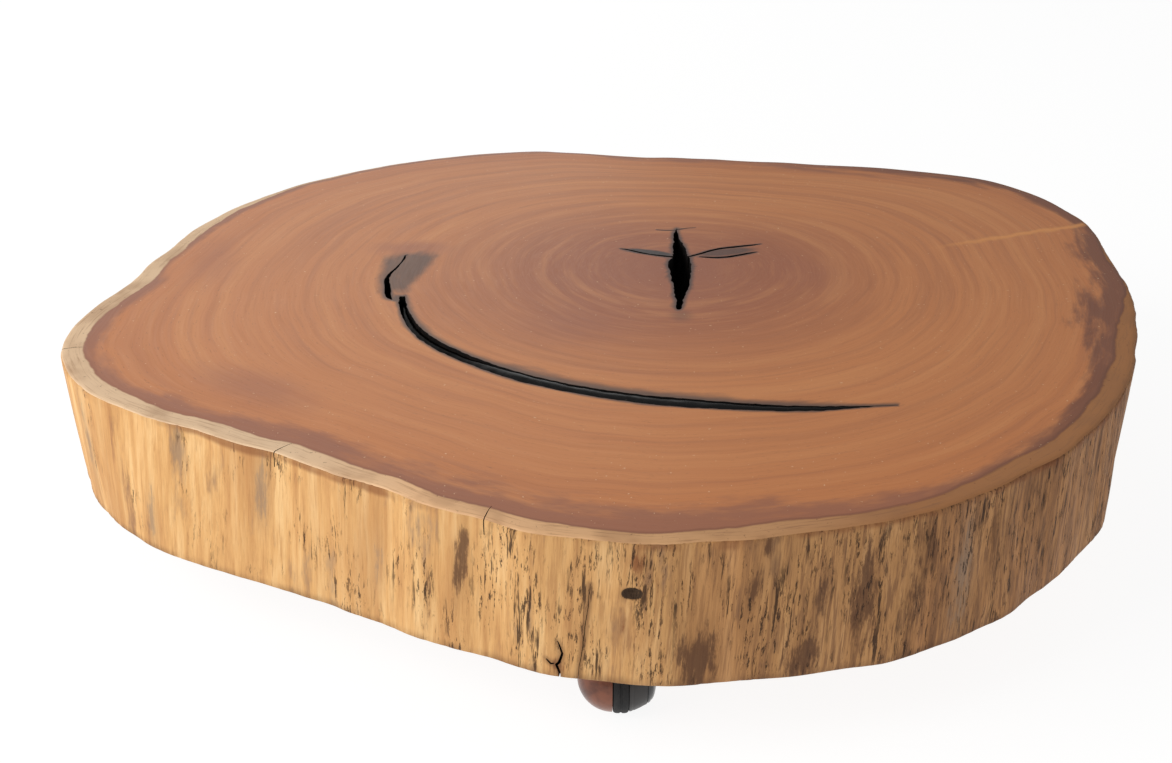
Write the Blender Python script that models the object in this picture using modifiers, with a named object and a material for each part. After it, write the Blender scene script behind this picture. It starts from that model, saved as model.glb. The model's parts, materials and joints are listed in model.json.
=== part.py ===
"""A low table: one thick slice of a hardwood trunk that stands on four swivelling ball casters.

Metres, +Z up. The origin is on the floor, under the middle of the slice's bounding box. The slice is widest
along X. Each caster has its own swivel axis (vertical) and its own axle (horizontal).
"""

from math import cos, hypot, pi, radians, sin

import bmesh
import bpy
from mathutils import Matrix, Vector, noise

# Heights of the whole table.
CASTER_HEIGHT = 0.073
SLICE_THICKNESS = 0.129
SLICE_TOP = CASTER_HEIGHT + SLICE_THICKNESS

# Clearance between two pieces that touch or turn in each other.
FIT = 0.0003
# How far a cutter runs past the faces that it cuts, and the least half width of a split's outline.
OVERSHOOT = 0.010
SLIVER = 0.0002

# Outline of the top face: (angle in degrees, radius) round the middle of the slice.
TOP_OUTLINE = (
    (0, 0.510), (10, 0.529), (20, 0.562), (29, 0.580), (39, 0.575), (51, 0.522), (63, 0.479),
    (76, 0.458), (90, 0.457), (102, 0.485), (126, 0.505), (148, 0.516), (158, 0.512), (169, 0.503),
    (180, 0.511), (190, 0.540), (198, 0.538), (206, 0.522), (215, 0.482), (225, 0.449), (237, 0.436),
    (250, 0.446), (265, 0.466), (285, 0.474), (305, 0.481), (330, 0.485), (345, 0.490),
)
# How far the bottom outline stands outside the top one: (angle in degrees, metres).
FLARE = (
    (0, 0.000), (35, -0.008), (70, 0.006), (110, 0.010), (150, 0.004), (180, -0.002), (203, -0.004),
    (216, 0.013), (238, 0.005), (252, -0.002), (268, 0.001), (284, 0.002), (300, 0.007), (320, 0.001),
    (328, 0.004), (345, -0.004),
)

# The live edge: hollows and ridges that run up the side, and the rounding at its two rims.
SIDE_POINTS = 216
RIDGE_HEIGHT = 0.0045
RIDGE_WIDTH = 0.055
RIPPLE_HEIGHT = 0.0016
RIPPLE_WIDTH = 0.030
RIDGE_LEAN = 0.35
# (share of the thickness, how far the wall is set in there), from the bottom rim to the top rim.
SIDE_LEVELS = (
    (0.000, 0.0050), (0.030, 0.0005), (0.250, 0.0), (0.500, 0.0), (0.750, 0.0), (0.945, 0.0),
    (0.982, 0.0014), (1.000, 0.0045),
)

# The heart check: an open split across the pith that runs through the whole slice, (x, y) round its rim.
HEART_CHECK = (
    (0.0640, 0.1810), (0.0655, 0.1500), (0.0700, 0.1280), (0.0718, 0.1030), (0.0735, 0.0920),
    (0.0760, 0.0760), (0.0738, 0.0560), (0.0712, 0.0360), (0.0705, 0.0160), (0.0650, -0.0060),
    (0.0610, -0.0250), (0.0595, -0.0440), (0.0540, -0.0450), (0.0545, -0.0280), (0.0520, -0.0080),
    (0.0530, 0.0120), (0.0500, 0.0330), (0.0495, 0.0560), (0.0475, 0.0760), (0.0535, 0.0860),
    (0.0555, 0.1050), (0.0560, 0.1260), (0.0590, 0.1420), (0.0580, 0.1620),
)
# Narrow splits: (x, y, half width) along the middle of each, with how deep it goes.
SIDE_CHECK_DEPTH = 0.022
LEFT_CHECK = (
    (0.0580, 0.0860, 0.0030), (0.0400, 0.1010, 0.0028), (0.0250, 0.1090, 0.0024),
    (0.0120, 0.1170, 0.0016), (0.0000, 0.1220, 0.0004),
)
RIGHT_CHECK_BACK = (
    (0.0640, 0.0900, 0.0016), (0.0880, 0.1020, 0.0014), (0.1030, 0.1200, 0.0014),
    (0.1280, 0.1280, 0.0014), (0.1500, 0.1380, 0.0011), (0.1600, 0.1430, 0.0004),
)
RIGHT_CHECK_FRONT = (
    (0.0900, 0.0960, 0.0010), (0.1080, 0.0900, 0.0015), (0.1240, 0.0980, 0.0014),
    (0.1420, 0.1070, 0.0011), (0.1520, 0.1090, 0.0004),
)
OUTER_CHECK_DEPTH = 0.035
OUTER_CHECK = (
    (-0.2230, 0.1140, 0.0008), (-0.2185, 0.1020, 0.0016), (-0.2215, 0.0900, 0.0014),
    (-0.2290, 0.0660, 0.0013), (-0.2370, 0.0440, 0.0016), (-0.2405, 0.0290, 0.0026),
    (-0.2370, 0.0120, 0.0033), (-0.2370, -0.0060, 0.0034), (-0.2350, -0.0200, 0.0028),
    (-0.2310, -0.0255, 0.0008),
)
# The ring shake: a crescent split along a growth ring, filled with black resin.
SHAKE_DEPTH = 0.042
SHAKE = (
    (-0.2215, -0.0130, 0.0026), (-0.2200, -0.0300, 0.0038), (-0.2150, -0.0530, 0.0044),
    (-0.2050, -0.0840, 0.0052), (-0.1900, -0.1130, 0.0062), (-0.1710, -0.1370, 0.0068),
    (-0.1480, -0.1600, 0.0068), (-0.1200, -0.1830, 0.0070), (-0.0920, -0.2020, 0.0078),
    (-0.0600, -0.2180, 0.0074), (-0.0250, -0.2320, 0.0080), (0.0150, -0.2440, 0.0084),
    (0.0550, -0.2515, 0.0080), (0.0950, -0.2570, 0.0066), (0.1300, -0.2605, 0.0056),
    (0.1600, -0.2610, 0.0044), (0.1850, -0.2590, 0.0026), (0.2120, -0.2560, 0.0004),
)
RESIN_SUNK = 0.0025

# Ball casters: swivel axis (x, y), turn of the mounting plate and turn of the hood, both in degrees.
CASTERS = {
    "front": (-0.0220, -0.3900, 90, 0),
    "right": (0.3900, 0.0150, 0, 115),
    "back": (0.0100, 0.3600, 90, 205),
    "left": (-0.3950, -0.0100, 0, 300),
}
PLATE_SIZE = 0.052
PLATE_THICKNESS = 0.003
PLATE_CORNER = 0.009
RACEWAY_DEPTH = 0.0042
RACEWAY_FOOT_RADIUS = 0.018
RACEWAY_FACE_RADIUS = 0.015
RACEWAY_SLOPE = 0.0025
KINGPIN_RADIUS = 0.003
KINGPIN_HEAD_RADIUS = 0.0052
KINGPIN_HEAD = 0.0012
SCREW_SPREAD = 0.0185
SCREW_RADIUS = 0.002
SCREW_HEAD_RADIUS = 0.004
SCREW_HEAD = 0.0022
SCREW_LENGTH = 0.021
SCREW_POINT = 0.005
PILOT_DEPTH = 0.0243
WHEEL_RADIUS = 0.030
WHEEL_CENTRE = (0.006, -0.014, WHEEL_RADIUS - CASTER_HEIGHT)
HOOD_RADIUS = 0.029
HOOD_WALL = 0.0024
HOOD_RIM = -0.001
CROWN_RADIUS = 0.018
CROWN_THICKNESS = 0.0044
CROWN_HOLE_END = -0.025
NECK_RADIUS = 0.015
NECK_FOOT = 0.010
NECK_LAP = 0.0004
AXLE_RADIUS = 0.004
AXLE_HEAD_RADIUS = 0.007
AXLE_HEAD = 0.0015
AXLE_START = -0.022
AXLE_BOSS_RADIUS = 0.0068
AXLE_BOSS_END = HOOD_WALL / 2 - HOOD_RADIUS
TREAD_WIDTH = 0.013
TREAD_SEAT_RADIUS = 0.024
TREAD_SHOULDER = 0.0012
TREAD_ROUND = 0.0025
SLEEVE_RADIUS = 0.0238
# The hub's flange: (radius, distance along the axle) from its end to the tyre.
HUB_FLANGE = ((0.0225, 0.0280), (0.0258, 0.0215), (0.0278, 0.0170), (0.0286, 0.0133))
HUB_POCKET_RADIUS = 0.010
HUB_POCKET_FLOOR = 0.0245
# The end cap's dome: (radius, height above its seat) from its middle to its edge.
CAP_DOME = ((0.0, 0.0075), (0.0090, 0.0069), (0.0165, 0.0050), (0.0205, 0.0025), (0.0218, 0.0))
CAP_PLUG = 0.0014

# Sides of the casters' round pieces.
BALL_SIDES = 20
TREAD_SIDES = 30
HUB_SIDES = 20
PIN_SIDES = 10
SCREW_SIDES = 8
BALL_RINGS = 12
CORNER_STEPS = 4

FINISHES = {
    "heartwood": ((0.45, 0.19, 0.09, 1.0), 0.45, 0.0),
    "resin": ((0.010, 0.009, 0.009, 1.0), 0.15, 0.0),
    "zinc": ((0.42, 0.42, 0.43, 1.0), 0.35, 1.0),
    "copper": ((0.42, 0.17, 0.11, 1.0), 0.28, 1.0),
    "rubber": ((0.015, 0.015, 0.016, 1.0), 0.65, 0.0),
    "hub": ((0.16, 0.15, 0.15, 1.0), 0.30, 0.8),
}


def clear_scene():
    """Remove every object that the file starts with."""
    for thing in list(bpy.data.objects):
        bpy.data.objects.remove(thing)


def material(name):
    """The Principled material for a named finish, made once."""
    found = bpy.data.materials.get(name)
    if found:
        return found
    colour, roughness, metallic = FINISHES[name]
    made = bpy.data.materials.new(name)
    made.use_nodes = True
    made.diffuse_color = colour
    shader = made.node_tree.nodes["Principled BSDF"]
    shader.inputs["Base Color"].default_value = colour
    shader.inputs["Roughness"].default_value = roughness
    shader.inputs["Metallic"].default_value = metallic
    return made


def new_object(name, mesh, collection, finish=None):
    """Link an object with this mesh, and give it a finish if one is named."""
    thing = bpy.data.objects.new(name, mesh)
    collection.objects.link(thing)
    if finish and not mesh.materials:
        mesh.materials.append(material(finish))
    return thing


def hide_cutter(thing):
    """Mark an object as a cutter, which is not part of the table."""
    thing.hide_render = True
    thing.display_type = "WIRE"
    return thing


def mesh_from(bm, name):
    """Turn a bmesh into a mesh and free it."""
    mesh = bpy.data.meshes.new(name)
    bm.to_mesh(mesh)
    bm.free()
    return mesh


def evaluated_mesh(thing, name):
    """The mesh that a curve or a modified object shows, with its doubles welded."""
    bpy.context.view_layer.update()
    graph = bpy.context.evaluated_depsgraph_get()
    mesh = bpy.data.meshes.new_from_object(thing.evaluated_get(graph))
    mesh.name = name
    bm = bmesh.new()
    bm.from_mesh(mesh)
    bmesh.ops.remove_doubles(bm, verts=bm.verts, dist=0.00001)
    bm.to_mesh(mesh)
    bm.free()
    return mesh


def boolean(thing, cutter, operation="DIFFERENCE"):
    """Add an exact Boolean modifier."""
    modifier = thing.modifiers.new(operation.title(), "BOOLEAN")
    modifier.operation = operation
    modifier.solver = "EXACT"
    modifier.object = cutter
    return modifier


def bake_modifiers(thing):
    """Replace an object's mesh by what its modifiers make of it."""
    mesh = evaluated_mesh(thing, thing.data.name)
    thing.modifiers.clear()
    thing.data = mesh
    return thing


def box(name, low, high, collection, finish=None):
    """An upright box between two corners."""
    bm = bmesh.new()
    bmesh.ops.create_cube(bm, size=1.0)
    size = Vector(high) - Vector(low)
    bmesh.ops.scale(bm, vec=size, verts=bm.verts)
    bmesh.ops.translate(bm, vec=(Vector(high) + Vector(low)) / 2, verts=bm.verts)
    return new_object(name, mesh_from(bm, name), collection, finish)


def cylinder(name, radius, low, high, sides, collection, at=(0.0, 0.0), finish=None):
    """An upright cylinder between two heights."""
    bm = bmesh.new()
    bmesh.ops.create_cone(bm, cap_ends=True, segments=sides, radius1=radius, radius2=radius, depth=high - low)
    bmesh.ops.translate(bm, vec=(at[0], at[1], (low + high) / 2), verts=bm.verts)
    return new_object(name, mesh_from(bm, name), collection, finish)


def turned(name, profile, sides, collection, finish=None):
    """A shape turned about Z from (radius, height) points that run down its outer side.

    A profile that ends where it began is a ring, and any other one starts and ends on the axis.
    """
    ring = profile[0] == profile[-1]
    points = profile[:-1] if ring else profile
    bm = bmesh.new()
    verts = [bm.verts.new((radius, 0.0, height)) for radius, height in points]
    for first, second in zip(verts, verts[1:]):
        bm.edges.new((first, second))
    if ring:
        bm.edges.new((verts[-1], verts[0]))
    thing = new_object(name, mesh_from(bm, name), collection, finish)
    screw = thing.modifiers.new("Turn", "SCREW")
    screw.steps = sides
    screw.render_steps = sides
    screw.use_merge_vertices = True
    screw.merge_threshold = 0.00001
    bake_modifiers(thing)
    bm = bmesh.new()
    bm.from_mesh(thing.data)
    bmesh.ops.recalc_face_normals(bm, faces=bm.faces)
    bm.to_mesh(thing.data)
    bm.free()
    return thing


def outline_prism(name, points, low, high, collection, finish=None):
    """A flat outline of (x, y) points, made solid between two heights."""
    curve = bpy.data.curves.new(name, "CURVE")
    curve.dimensions = "2D"
    curve.fill_mode = "BOTH"
    curve.extrude = (high - low) / 2
    spline = curve.splines.new("POLY")
    spline.points.add(len(points) - 1)
    for control, (x, y) in zip(spline.points, points):
        control.co = (x, y, 0.0, 1.0)
    spline.use_cyclic_u = True
    drawn = new_object(name + "_outline", curve, collection)
    drawn.location.z = (low + high) / 2
    mesh = evaluated_mesh(drawn, name)
    mesh.transform(drawn.matrix_world)
    bpy.data.objects.remove(drawn)
    return new_object(name, mesh, collection, finish)


def round_curve(table, angle):
    """The value at an angle in degrees of a smooth closed curve through (angle, value) points."""
    count = len(table)
    angle = angle % 360.0
    start = max(i for i in range(count) if table[i][0] <= angle)
    knots = []
    for step in (-1, 0, 1, 2):
        turns, index = divmod(start + step, count)
        knots.append((table[index][0] + 360.0 * turns, table[index][1]))
    (a0, v0), (a1, v1), (a2, v2), (a3, v3) = knots
    slope1 = (v2 - v0) / (a2 - a0)
    slope2 = (v3 - v1) / (a3 - a1)
    span = a2 - a1
    t = (angle - a1) / span
    rise = v1 * (2 * t**3 - 3 * t**2 + 1) + v2 * (3 * t**2 - 2 * t**3)
    return rise + span * (slope1 * (t**3 - 2 * t**2 + t) + slope2 * (t**3 - t**2))


def wave(angle, share, width):
    """Smooth noise round the trunk, from -1 to 1, with features about this wide that lean as they rise."""
    turn = radians(angle) + RIDGE_LEAN * width * share
    scale = 0.5 / width
    return noise.noise(Vector((cos(turn) * scale, sin(turn) * scale, share * 0.8)))


def side_radius(angle, share):
    """Radius of the live edge at an angle in degrees and a share of the thickness above the bottom."""
    radius = round_curve(TOP_OUTLINE, angle) + (1.0 - share) * round_curve(FLARE, angle)
    radius += RIDGE_HEIGHT * wave(angle, share, RIDGE_WIDTH)
    return radius + RIPPLE_HEIGHT * wave(angle + 77.0, share, RIPPLE_WIDTH)


def outline_middle():
    """Middle of the slice's bounding box, before it is moved onto the origin."""
    rim = []
    for share, inset in SIDE_LEVELS:
        for step in range(SIDE_POINTS):
            angle = 360.0 * step / SIDE_POINTS
            radius = side_radius(angle, share) - inset
            rim.append((radius * cos(radians(angle)), radius * sin(radians(angle))))
    xs, ys = zip(*rim)
    return (min(xs) + max(xs)) / 2, (min(ys) + max(ys)) / 2


def slice_body(collection):
    """The slice without its splits: one loop of points for each level of the side, bridged and capped."""
    middle_x, middle_y = outline_middle()
    bm = bmesh.new()
    loops = []
    for share, inset in SIDE_LEVELS:
        verts = []
        for step in range(SIDE_POINTS):
            angle = 360.0 * step / SIDE_POINTS
            radius = side_radius(angle, share) - inset
            x = radius * cos(radians(angle)) - middle_x
            y = radius * sin(radians(angle)) - middle_y
            verts.append(bm.verts.new((x, y, CASTER_HEIGHT + share * SLICE_THICKNESS)))
        edges = [bm.edges.new((verts[i - 1], verts[i])) for i in range(SIDE_POINTS)]
        loops.append(edges)
    for lower, upper in zip(loops, loops[1:]):
        bmesh.ops.bridge_loops(bm, edges=lower + upper)
    for rim in (loops[0], loops[-1]):
        bmesh.ops.edgeloop_fill(bm, edges=rim)
    bmesh.ops.recalc_face_normals(bm, faces=bm.faces)
    return new_object("wood_slice", mesh_from(bm, "wood_slice"), collection, "heartwood")


def split_outline(path, shrink=0.0, ends=0):
    """(x, y) points round a split, from (x, y, half width) points along its middle.

    The outline can be this much narrower on each side, and leave out this many points at each end.
    """
    left, right = [], []
    last = len(path) - 1
    for i, (x, y, half) in enumerate(path):
        if i < ends or i > last - ends:
            continue
        x0, y0, _ = path[max(i - 1, 0)]
        x1, y1, _ = path[min(i + 1, last)]
        length = hypot(x1 - x0, y1 - y0)
        across_x, across_y = -(y1 - y0) / length, (x1 - x0) / length
        half = max(half - shrink, SLIVER)
        left.append((x + across_x * half, y + across_y * half))
        right.append((x - across_x * half, y - across_y * half))
    return right + left[::-1]


def cut_splits(slice_object, cutters):
    """Cut the heart check through the slice, and the other splits part of the way down."""
    above = SLICE_TOP + OVERSHOOT
    heart = outline_prism("heart_cutter", HEART_CHECK, CASTER_HEIGHT - OVERSHOOT, above, cutters)
    boolean(slice_object, hide_cutter(heart))
    splits = {
        "left_check": (LEFT_CHECK, SIDE_CHECK_DEPTH),
        "right_check_back": (RIGHT_CHECK_BACK, SIDE_CHECK_DEPTH),
        "right_check_front": (RIGHT_CHECK_FRONT, SIDE_CHECK_DEPTH),
        "outer_check": (OUTER_CHECK, OUTER_CHECK_DEPTH),
        "shake": (SHAKE, SHAKE_DEPTH),
    }
    for name, (path, depth) in splits.items():
        cutter = outline_prism(name + "_cutter", split_outline(path), SLICE_TOP - depth, above, cutters)
        boolean(slice_object, hide_cutter(cutter))


def shake_resin(collection):
    """The black resin that fills the ring shake, a little below the top face."""
    bed = SLICE_TOP - SHAKE_DEPTH + FIT
    outline = split_outline(SHAKE, shrink=FIT, ends=1)
    return outline_prism("shake_resin", outline, bed, SLICE_TOP - RESIN_SUNK, collection, "resin")


def screw_places(caster):
    """World (x, y) of the four screws of one caster's plate."""
    x, y, plate_turn, _ = CASTERS[caster]
    turn = Matrix.Rotation(radians(plate_turn), 3, "Z")
    corners = ((1, 1), (-1, 1), (-1, -1), (1, -1))
    places = [turn @ Vector((SCREW_SPREAD * i, SCREW_SPREAD * j, 0.0)) for i, j in corners]
    return [(x + place.x, y + place.y) for place in places]


def cut_pilot_holes(slice_object, cutters):
    """Bore the holes for the casters' screws into the underside."""
    bm = bmesh.new()
    hole = SCREW_RADIUS + 2 * FIT
    length = PILOT_DEPTH + OVERSHOOT
    for caster in CASTERS:
        for x, y in screw_places(caster):
            middle = Matrix.Translation((x, y, CASTER_HEIGHT + PILOT_DEPTH - length / 2))
            bmesh.ops.create_cone(
                bm,
                cap_ends=True,
                segments=SCREW_SIDES,
                radius1=hole,
                radius2=hole,
                depth=length,
                matrix=middle,
            )
    cutter = new_object("pilot_cutter", mesh_from(bm, "pilot_cutter"), cutters)
    boolean(slice_object, hide_cutter(cutter))


def plate_mesh(cutters, collection):
    """Mounting plate with its pressed raceway, four countersunk holes and the kingpin's hole."""
    half = PLATE_SIZE / 2
    face = -PLATE_THICKNESS - FIT
    plate = box("plate", (-half, -half, face), (half, half, -FIT), collection, "zinc")
    round_corners(plate)
    inside = -PLATE_THICKNESS / 2
    below = face - RACEWAY_DEPTH
    raceway = turned(
        "raceway",
        (
            (0.0, inside), (RACEWAY_FOOT_RADIUS, inside), (RACEWAY_FOOT_RADIUS, below + RACEWAY_SLOPE),
            (RACEWAY_FACE_RADIUS, below), (0.0, below),
        ),
        BALL_SIDES,
        cutters,
    )
    boolean(plate, hide_cutter(raceway), "UNION")
    head = KINGPIN_HEAD_RADIUS + FIT
    pin = KINGPIN_RADIUS + 2 * FIT
    ledge = -3 * FIT - KINGPIN_HEAD
    far = -2 * OVERSHOOT
    pin_hole = turned(
        "pin_hole",
        ((0.0, OVERSHOOT), (head, OVERSHOOT), (head, ledge), (pin, ledge), (pin, far), (0.0, far)),
        PIN_SIDES,
        cutters,
    )
    boolean(plate, hide_cutter(pin_hole))
    head = SCREW_HEAD_RADIUS + 2 * FIT
    shank = SCREW_RADIUS + 2 * FIT
    profile = (
        (0.0, OVERSHOOT), (shank, OVERSHOOT), (shank, face + SCREW_HEAD), (head, face),
        (head, face - OVERSHOOT), (0.0, face - OVERSHOOT),
    )
    for number, (i, j) in enumerate(((1, 1), (-1, 1), (-1, -1), (1, -1))):
        sink = turned(f"screw_hole_{number}", profile, SCREW_SIDES, cutters)
        sink.location = (SCREW_SPREAD * i, SCREW_SPREAD * j, 0.0)
        boolean(plate, hide_cutter(sink))
    bake_modifiers(plate)
    mesh = plate.data
    bpy.data.objects.remove(plate)
    return mesh


def round_corners(plate):
    """Round the four upright edges of a plate."""
    bm = bmesh.new()
    bm.from_mesh(plate.data)
    half = PLATE_THICKNESS / 2
    upright = [edge for edge in bm.edges if abs(edge.verts[0].co.z - edge.verts[1].co.z) > half]
    bmesh.ops.bevel(bm, geom=upright, offset=PLATE_CORNER, segments=CORNER_STEPS, profile=0.5, affect="EDGES")
    bm.to_mesh(plate.data)
    bm.free()


def hood_mesh(cutters, collection):
    """Cast hood: half a hollow ball with a crown that turns on the raceway and a boss for the axle."""
    centre = Vector(WHEEL_CENTRE)
    crown_top = -PLATE_THICKNESS - RACEWAY_DEPTH - 2 * FIT
    crown_low = crown_top - CROWN_THICKNESS
    rim = centre.x + HOOD_RIM
    bm = bmesh.new()
    bmesh.ops.create_uvsphere(bm, u_segments=BALL_SIDES, v_segments=BALL_RINGS, radius=HOOD_RADIUS)
    bmesh.ops.rotate(bm, verts=bm.verts, matrix=Matrix.Rotation(pi / 2, 3, "Y"))
    bmesh.ops.translate(bm, verts=bm.verts, vec=centre)
    hood = new_object("hood", mesh_from(bm, "hood"), collection, "copper")
    neck = cylinder("neck", NECK_RADIUS, centre.z + NECK_FOOT, crown_low + NECK_LAP, BALL_SIDES, cutters)
    boolean(hood, hide_cutter(neck), "UNION")
    bm = bmesh.new()
    inner = HOOD_RADIUS - HOOD_WALL
    bmesh.ops.create_uvsphere(bm, u_segments=BALL_SIDES, v_segments=BALL_RINGS, radius=inner)
    bmesh.ops.rotate(bm, verts=bm.verts, matrix=Matrix.Rotation(pi / 2, 3, "Y"))
    bmesh.ops.translate(bm, verts=bm.verts, vec=centre)
    hollow = new_object("hood_hollow", mesh_from(bm, "hood_hollow"), cutters)
    boolean(hood, hide_cutter(hollow))
    far = 2 * WHEEL_RADIUS
    open_side = box("open_side", (rim, -far, -2 * far), (rim + far, far, far), cutters)
    boolean(hood, hide_cutter(open_side))
    crown = cylinder("crown", CROWN_RADIUS, crown_low, crown_top, BALL_SIDES, cutters)
    boolean(hood, hide_cutter(crown), "UNION")
    pin = KINGPIN_RADIUS + 2 * FIT
    head = KINGPIN_HEAD_RADIUS + 2 * FIT
    ledge = crown_low + KINGPIN_HEAD + FIT
    pin_hole = turned(
        "crown_hole",
        (
            (0.0, OVERSHOOT), (pin, OVERSHOOT), (pin, ledge), (head, ledge),
            (head, CROWN_HOLE_END), (0.0, CROWN_HOLE_END),
        ),
        PIN_SIDES,
        cutters,
    )
    boolean(hood, hide_cutter(pin_hole))
    boss = turned(
        "axle_boss",
        (
            (0.0, HOOD_RIM), (AXLE_BOSS_RADIUS, HOOD_RIM),
            (AXLE_BOSS_RADIUS, AXLE_BOSS_END), (0.0, AXLE_BOSS_END),
        ),
        PIN_SIDES,
        cutters,
    )
    hole = AXLE_RADIUS + FIT
    blind_end = AXLE_START - FIT
    bore = turned(
        "axle_bore",
        ((0.0, OVERSHOOT), (hole, OVERSHOOT), (hole, blind_end), (0.0, blind_end)),
        PIN_SIDES,
        cutters,
    )
    for piece, operation in ((boss, "UNION"), (bore, "DIFFERENCE")):
        piece.location = centre
        piece.rotation_euler = (0.0, pi / 2, 0.0)
        boolean(hood, hide_cutter(piece), operation)
    bake_modifiers(hood)
    mesh = hood.data
    bpy.data.objects.remove(hood)
    return mesh


def turned_mesh(name, profile, sides, collection, finish):
    """The mesh of a turned shape, for use by several objects."""
    thing = turned(name, profile, sides, collection, finish)
    mesh = thing.data
    bpy.data.objects.remove(thing)
    return mesh


def kingpin_mesh(collection):
    """Rivet that holds the hood's crown to the plate."""
    top = -2 * FIT
    crown_low = -PLATE_THICKNESS - RACEWAY_DEPTH - 2 * FIT - CROWN_THICKNESS
    profile = (
        (0.0, top), (KINGPIN_HEAD_RADIUS, top), (KINGPIN_HEAD_RADIUS, top - KINGPIN_HEAD),
        (KINGPIN_RADIUS, top - KINGPIN_HEAD), (KINGPIN_RADIUS, crown_low + KINGPIN_HEAD),
        (KINGPIN_HEAD_RADIUS, crown_low + KINGPIN_HEAD), (KINGPIN_HEAD_RADIUS, crown_low), (0.0, crown_low),
    )
    return turned_mesh("kingpin", profile, PIN_SIDES, collection, "zinc")


def screw_mesh(collection):
    """Countersunk wood screw, its head flush with the plate's lower face."""
    face = -PLATE_THICKNESS - FIT
    profile = (
        (0.0, SCREW_LENGTH), (SCREW_RADIUS * 0.5, SCREW_LENGTH - SCREW_POINT * 0.4),
        (SCREW_RADIUS, SCREW_LENGTH - SCREW_POINT), (SCREW_RADIUS, face + SCREW_HEAD),
        (SCREW_HEAD_RADIUS, face), (0.0, face),
    )
    return turned_mesh("screw", profile, SCREW_SIDES, collection, "zinc")


def axle_mesh(collection):
    """Axle pin, along Z: from the hood's boss to the head inside the hub's pocket."""
    head = HUB_POCKET_FLOOR + FIT
    profile = (
        (0.0, head + AXLE_HEAD), (AXLE_HEAD_RADIUS, head + AXLE_HEAD), (AXLE_HEAD_RADIUS, head),
        (AXLE_RADIUS, head), (AXLE_RADIUS, AXLE_START), (0.0, AXLE_START),
    )
    return turned_mesh("axle", profile, PIN_SIDES, collection, "zinc")


def tread_mesh(collection):
    """Rubber tyre, along Z, with rounded shoulders."""
    inside = TREAD_SEAT_RADIUS + FIT
    shoulder = WHEEL_RADIUS - TREAD_SHOULDER
    profile = (
        (inside, TREAD_WIDTH), (shoulder, TREAD_WIDTH), (WHEEL_RADIUS, TREAD_WIDTH - TREAD_ROUND),
        (WHEEL_RADIUS, TREAD_ROUND), (shoulder, 0.0), (inside, 0.0), (inside, TREAD_WIDTH),
    )
    return turned_mesh("tread", profile, TREAD_SIDES, collection, "rubber")


def hub_mesh(collection):
    """Hub, along Z: a sleeve that carries the tyre, then a domed flange with a pocket for the cap."""
    bore = AXLE_RADIUS + FIT
    end = HUB_FLANGE[0][1]
    foot = HUB_FLANGE[-1][1]
    profile = (
        (bore, HUB_POCKET_FLOOR), (HUB_POCKET_RADIUS, HUB_POCKET_FLOOR), (HUB_POCKET_RADIUS, end),
        *HUB_FLANGE,
        (SLEEVE_RADIUS, foot), (SLEEVE_RADIUS, 0.0), (bore, 0.0), (bore, HUB_POCKET_FLOOR),
    )
    return turned_mesh("hub", profile, HUB_SIDES, collection, "hub")


def cap_mesh(collection):
    """Domed end cap, along Z, with a plug that sits in the hub's pocket."""
    seat = HUB_FLANGE[0][1] + FIT
    plug = HUB_POCKET_RADIUS - FIT
    dome = [(radius, seat + height) for radius, height in CAP_DOME]
    profile = (*dome, (plug, seat), (plug, seat - CAP_PLUG), (0.0, seat - CAP_PLUG))
    return turned_mesh("cap", profile, HUB_SIDES, collection, "rubber")


def empty(name, collection, parent=None, location=(0.0, 0.0, 0.0), turn=(0.0, 0.0, 0.0)):
    """A point that pieces hang from."""
    point = bpy.data.objects.new(name, None)
    collection.objects.link(point)
    point.parent = parent
    point.location = location
    point.rotation_euler = turn
    return point


def place(name, mesh, collection, parent, location=(0.0, 0.0, 0.0)):
    """A named piece with its own copy of a mesh, hung from a parent."""
    thing = new_object(name, mesh.copy(), collection)
    thing.data.name = name
    thing.parent = parent
    thing.location = location
    return thing


def build_casters(collection, cutters):
    """Four ball casters, each with a fixed plate, a hood that swivels and a wheel that rolls."""
    meshes = {
        "plate": plate_mesh(cutters, collection),
        "kingpin": kingpin_mesh(collection),
        "screw": screw_mesh(collection),
        "hood": hood_mesh(cutters, collection),
        "axle": axle_mesh(collection),
        "tread": tread_mesh(collection),
        "hub": hub_mesh(collection),
        "cap": cap_mesh(collection),
    }
    for name, (x, y, plate_turn, hood_turn) in CASTERS.items():
        seat = (x, y, CASTER_HEIGHT)
        fixed = empty(f"{name}_caster_seat", collection, None, seat, (0.0, 0.0, radians(plate_turn)))
        swivel = empty(f"{name}_caster_swivel", collection, None, seat, (0.0, 0.0, radians(hood_turn)))
        wheel = empty(f"{name}_caster_wheel", collection, swivel, WHEEL_CENTRE, (0.0, pi / 2, 0.0))
        place(f"{name}_caster_plate", meshes["plate"], collection, fixed)
        place(f"{name}_caster_kingpin", meshes["kingpin"], collection, fixed)
        for number, (i, j) in enumerate(((1, 1), (-1, 1), (-1, -1), (1, -1)), start=1):
            corner = (SCREW_SPREAD * i, SCREW_SPREAD * j, 0.0)
            place(f"{name}_caster_screw_{number}", meshes["screw"], collection, fixed, corner)
        place(f"{name}_caster_hood", meshes["hood"], collection, swivel)
        place(f"{name}_caster_axle", meshes["axle"], collection, wheel)
        for piece in ("tread", "hub", "cap"):
            place(f"{name}_caster_{piece}", meshes[piece], collection, wheel)


def smooth_round_pieces(collection):
    """Shade every piece smooth, with its sharp edges kept."""
    for thing in collection.objects:
        if thing.type == "MESH":
            thing.data.shade_smooth()
            thing.data.set_sharp_from_angle(angle=radians(35))


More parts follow.
